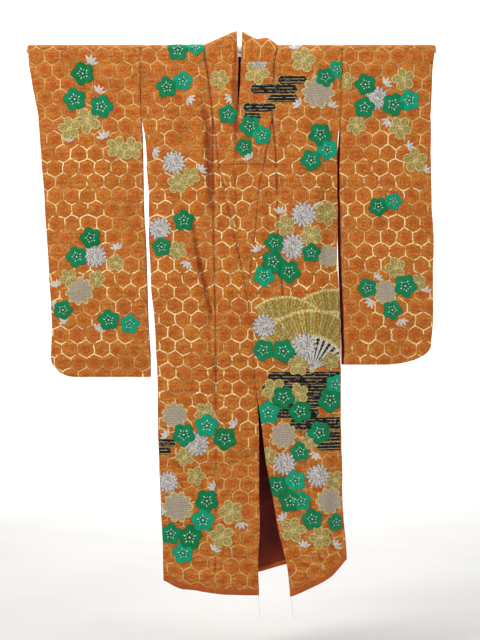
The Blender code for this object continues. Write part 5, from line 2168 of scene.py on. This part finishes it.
class KimonoStage(bpy.types.PropertyGroup):
    """The floor, lights and camera."""

    floor_drop: number_setting("Floor drop", "Distance from the rod down to the floor", 1.9, 1.8, 3)
    distance: number_setting("Camera distance", "Distance from the camera to the rod's plane", 4.985, 2, 20)
    framed_height: number_setting("Framed height", "Height of the view at the rod's plane", 1.984, 0.5, 5)
    key_power: number_setting("Key light", "Power of the main light", 80, 0, 1000, "POWER")


def finishes_named(*names):
    missing = [name for name in names if name not in bpy.data.materials]
    if missing:
        raise RuntimeError(f"make the finishes first: {missing} are missing")
    return [bpy.data.materials[name] for name in names]


# Operators


class KIMONO_OT_finishes(bpy.types.Operator):
    """Makes the silks, thread and paint"""

    bl_idname = "kimono.finishes"
    bl_label = "Finishes"

    def execute(self, context):
        cloth = context.scene.kimono_cloth
        Shape.crease, Shape.puff, Shape.cell = cloth.crease, cloth.puff, cloth.cell / MM
        lattice_silk(cloth)
        plain_silk("red_lining_silk", cloth.lining, 3200.0, 0.03, (0.36, 0.052, 0.010))
        plain_silk("padded_hem_silk", cloth.hem, 2600.0, 0.04)
        plain_silk("pale_collar_lining", (0.62, 0.56, 0.50), 3000.0, 0.2)
        twisted_thread()
        pattern_finishes()
        metal_thread("sewing_silk", (0.42, 0.13, 0.02), (0.62, 0.27, 0.06), 0.1)
        rod = frame["nodes"]["rod"]
        rod.data.materials.clear()
        rod.data.materials.append(painted_wood())
        return {"FINISHED"}


class KIMONO_OT_threads(bpy.types.Operator):
    """Hangs the two loose thread ends from the front hem"""

    bl_idname = "kimono.threads"
    bl_label = "Loose threads"

    def execute(self, context):
        for half in HALVES:
            thread(half, finishes_named("twisted_cotton_thread"))
        return {"FINISHED"}


class KIMONO_OT_body(bpy.types.Operator):
    """Builds the body panels, overlap panels, back lining and padded hem rolls"""

    bl_idname = "kimono.body"
    bl_label = "Body"

    def execute(self, context):
        silk = finishes_named("orange_lattice_silk", "red_lining_silk")
        red = finishes_named("red_lining_silk", "red_lining_silk")
        hem = finishes_named("padded_hem_silk")
        for half in HALVES:
            name = half.name
            body, front_hem, back_hem = body_panel(half, silk)
            overlap, overlap_hem = overlap_panel(half, silk)
            lining = back_lining(half, red)
            hem_roll(f"padded_hem_front_{name}", f"hem_front_{name}", front_hem, FRONT, True, hem)
            hem_roll(f"padded_hem_overlap_{name}", f"hem_overlap_{name}", overlap_hem, FRONT, False, hem)
            hem_roll(f"padded_hem_back_{name}", f"hem_back_{name}", back_hem, BACK, True, hem)
        return {"FINISHED"}


class KIMONO_OT_sleeves(bpy.types.Operator):
    """Builds the two long sleeves"""

    bl_idname = "kimono.sleeves"
    bl_label = "Sleeves"

    def execute(self, context):
        silk = finishes_named("orange_lattice_silk", "red_lining_silk")
        for half in HALVES:
            sleeve(half, silk)
        return {"FINISHED"}


class KIMONO_OT_collar(bpy.types.Operator):
    """Builds the collar and the over-collar on it"""

    bl_idname = "kimono.collar"
    bl_label = "Collar"

    def execute(self, context):
        silk = finishes_named("orange_lattice_silk", "pale_collar_lining")
        strip = collar("silk_collar", "collar", COLLAR_END, COLLAR_WALL, 0.0, silk)
        lifted = COLLAR_WALL + SEAM_GAP
        over = collar("silk_over_collar", "over_collar", OVER_COLLAR_END, OVER_COLLAR_WALL, lifted, silk)
        return {"FINISHED"}


class KIMONO_OT_patterns(bpy.types.Operator):
    """Lays the flowers, mist bands and folding fans on the silk"""

    bl_idname = "kimono.patterns"
    bl_label = "Flowers and patterns"

    def execute(self, context):
        lay_patterns(finishes_named(*PATTERN_FINISHES))
        return {"FINISHED"}


class KIMONO_OT_stitches(bpy.types.Operator):
    """Sews the seams and hems with small stitches"""

    bl_idname = "kimono.stitches"
    bl_label = "Stitches"

    def execute(self, context):
        lay_stitches(finishes_named("sewing_silk"))
        return {"FINISHED"}


class KIMONO_OT_stage(bpy.types.Operator):
    """Sets up the pale floor and backdrop, the studio lights and the camera"""

    bl_idname = "kimono.stage"
    bl_label = "Stage"

    def execute(self, context):
        scene = context.scene
        stage = scene.kimono_stage
        finish = Finish("pale_studio_paper")
        cloud = finish.noise(finish.places(), 1.3, 2.0)
        tone = finish.blend(finish.ramp(cloud, 0.3, 0.7), (0.80, 0.79, 0.77), (0.84, 0.83, 0.81))
        finish.set(base_color=tone, roughness=0.9)
        deselect_all()
        bpy.ops.mesh.primitive_plane_add(size=1)
        sweep = context.object
        sweep.name = "studio_sweep"
        sweep.scale = (30, 22, 1)
        sweep.location = (0, -2, -stage.floor_drop)
        bpy.ops.object.transform_apply(location=True, rotation=True, scale=True)
        vertices = sweep.data.vertices
        # Nothing is selected yet when the far edge is picked.
        with edit_mode("DESELECT"):
            pass
        for edge in sweep.data.edges:
            edge.select = all(vertices[v].co.y > 8 for v in edge.vertices)
        with edit_mode():
            bpy.ops.mesh.select_mode(type="EDGE")
            bpy.ops.mesh.extrude_region_move(TRANSFORM_OT_translate={"value": (0, 0, 6)})
        vertices = sweep.data.vertices
        for edge in sweep.data.edges:
            edge.select = all(vertices[v].co.y > 8 and vertices[v].co.z < 0 for v in edge.vertices)
        with edit_mode():
            bpy.ops.mesh.bevel(offset=1.5, segments=12)
        sweep.data.shade_smooth()
        sweep.data.materials.append(finish.material)
        sweep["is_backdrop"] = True

        world = bpy.data.worlds.new("soft_room")
        world.use_nodes = True
        background = world.node_tree.nodes["Background"]
        background.inputs["Color"].default_value = (0.98, 0.99, 1.0, 1)
        background.inputs["Strength"].default_value = 0.27
        scene.world = world
        lamps = [
            ("key", (-2.9, -2.6, 1.5), 1.0, stage.key_power * 1.25),
            ("fill", (2.6, -3.2, -0.4), 2.6, stage.key_power * 0.50),
            ("top", (0.0, -0.15, 1.9), 1.4, stage.key_power * 0.55),
            ("behind", (0.4, 2.2, 0.9), 2.4, stage.key_power * 0.45),
        ]
        middle = (0, 0, -0.75)
        lamps = [(*lamp, middle) for lamp in lamps]
        lamps.append(("backdrop", (0, 5.6, 3.2), 4.0, 420, (0, 9, -0.4)))
        for name, place, size, power, aim in lamps:
            lamp = bpy.data.lights.new(name, "AREA")
            lamp.size = size
            lamp.energy = power
            obj = bpy.data.objects.new(f"light_{name}", lamp)
            obj.location = place
            obj.rotation_euler = (Vector(aim) - Vector(place)).to_track_quat("-Z", "Y").to_euler()
            obj.visible_camera = False
            scene.collection.objects.link(obj)

        camera = bpy.data.cameras.new("camera")
        camera.sensor_fit = "VERTICAL"
        camera.sensor_width = camera.sensor_height = 36
        camera.lens = camera.sensor_height * stage.distance / stage.framed_height
        obj = bpy.data.objects.new("camera", camera)
        obj.location = (0.0062, -stage.distance, -0.8382)
        obj.rotation_euler = (math.pi / 2, 0, 0)
        scene.collection.objects.link(obj)
        scene.camera = obj
        scene.view_settings.view_transform = "Standard"
        return {"FINISHED"}


class KIMONO_PT_panel(bpy.types.Panel):
    """Lists the kimono's settings and steps"""

    bl_label = "Kimono"
    bl_idname = "KIMONO_PT_panel"
    bl_space_type = "VIEW_3D"
    bl_region_type = "UI"
    bl_category = "Kimono"

    def draw(self, context):
        layout = self.layout
        for group in (context.scene.kimono_cloth, context.scene.kimono_stage):
            box = layout.box()
            for name in group.bl_rna.properties.keys():
                if name not in ("rna_type", "name"):
                    box.prop(group, name)
        for step in STEPS:
            layout.operator(step.bl_idname)


STEPS = (
    KIMONO_OT_finishes,
    KIMONO_OT_threads,
    KIMONO_OT_body,
    KIMONO_OT_sleeves,
    KIMONO_OT_collar,
    KIMONO_OT_patterns,
    KIMONO_OT_stitches,
    KIMONO_OT_stage,
)
CLASSES = (KimonoCloth, KimonoStage, *STEPS, KIMONO_PT_panel)


def register():
    for made in CLASSES:
        bpy.utils.register_class(made)
    bpy.types.Scene.kimono_cloth = PointerProperty(type=KimonoCloth)
    bpy.types.Scene.kimono_stage = PointerProperty(type=KimonoStage)


def unregister():
    del bpy.types.Scene.kimono_stage
    del bpy.types.Scene.kimono_cloth
    for made in reversed(CLASSES):
        bpy.utils.unregister_class(made)


def write_size():
    boxes = {"cad": CAD_BOX, "visual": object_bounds()}
    {name: [list(corner) for corner in box] for name, box in boxes.items()}


def main():
    register()
    bpy.ops.kimono.finishes()
    bpy.ops.kimono.threads()
    bpy.ops.kimono.body()
    bpy.ops.kimono.sleeves()
    bpy.ops.kimono.collar()
    bpy.ops.kimono.patterns()
    bpy.ops.kimono.stitches()
    bpy.ops.kimono.stage()
    write_size()


if __name__ == "__main__":
    main()
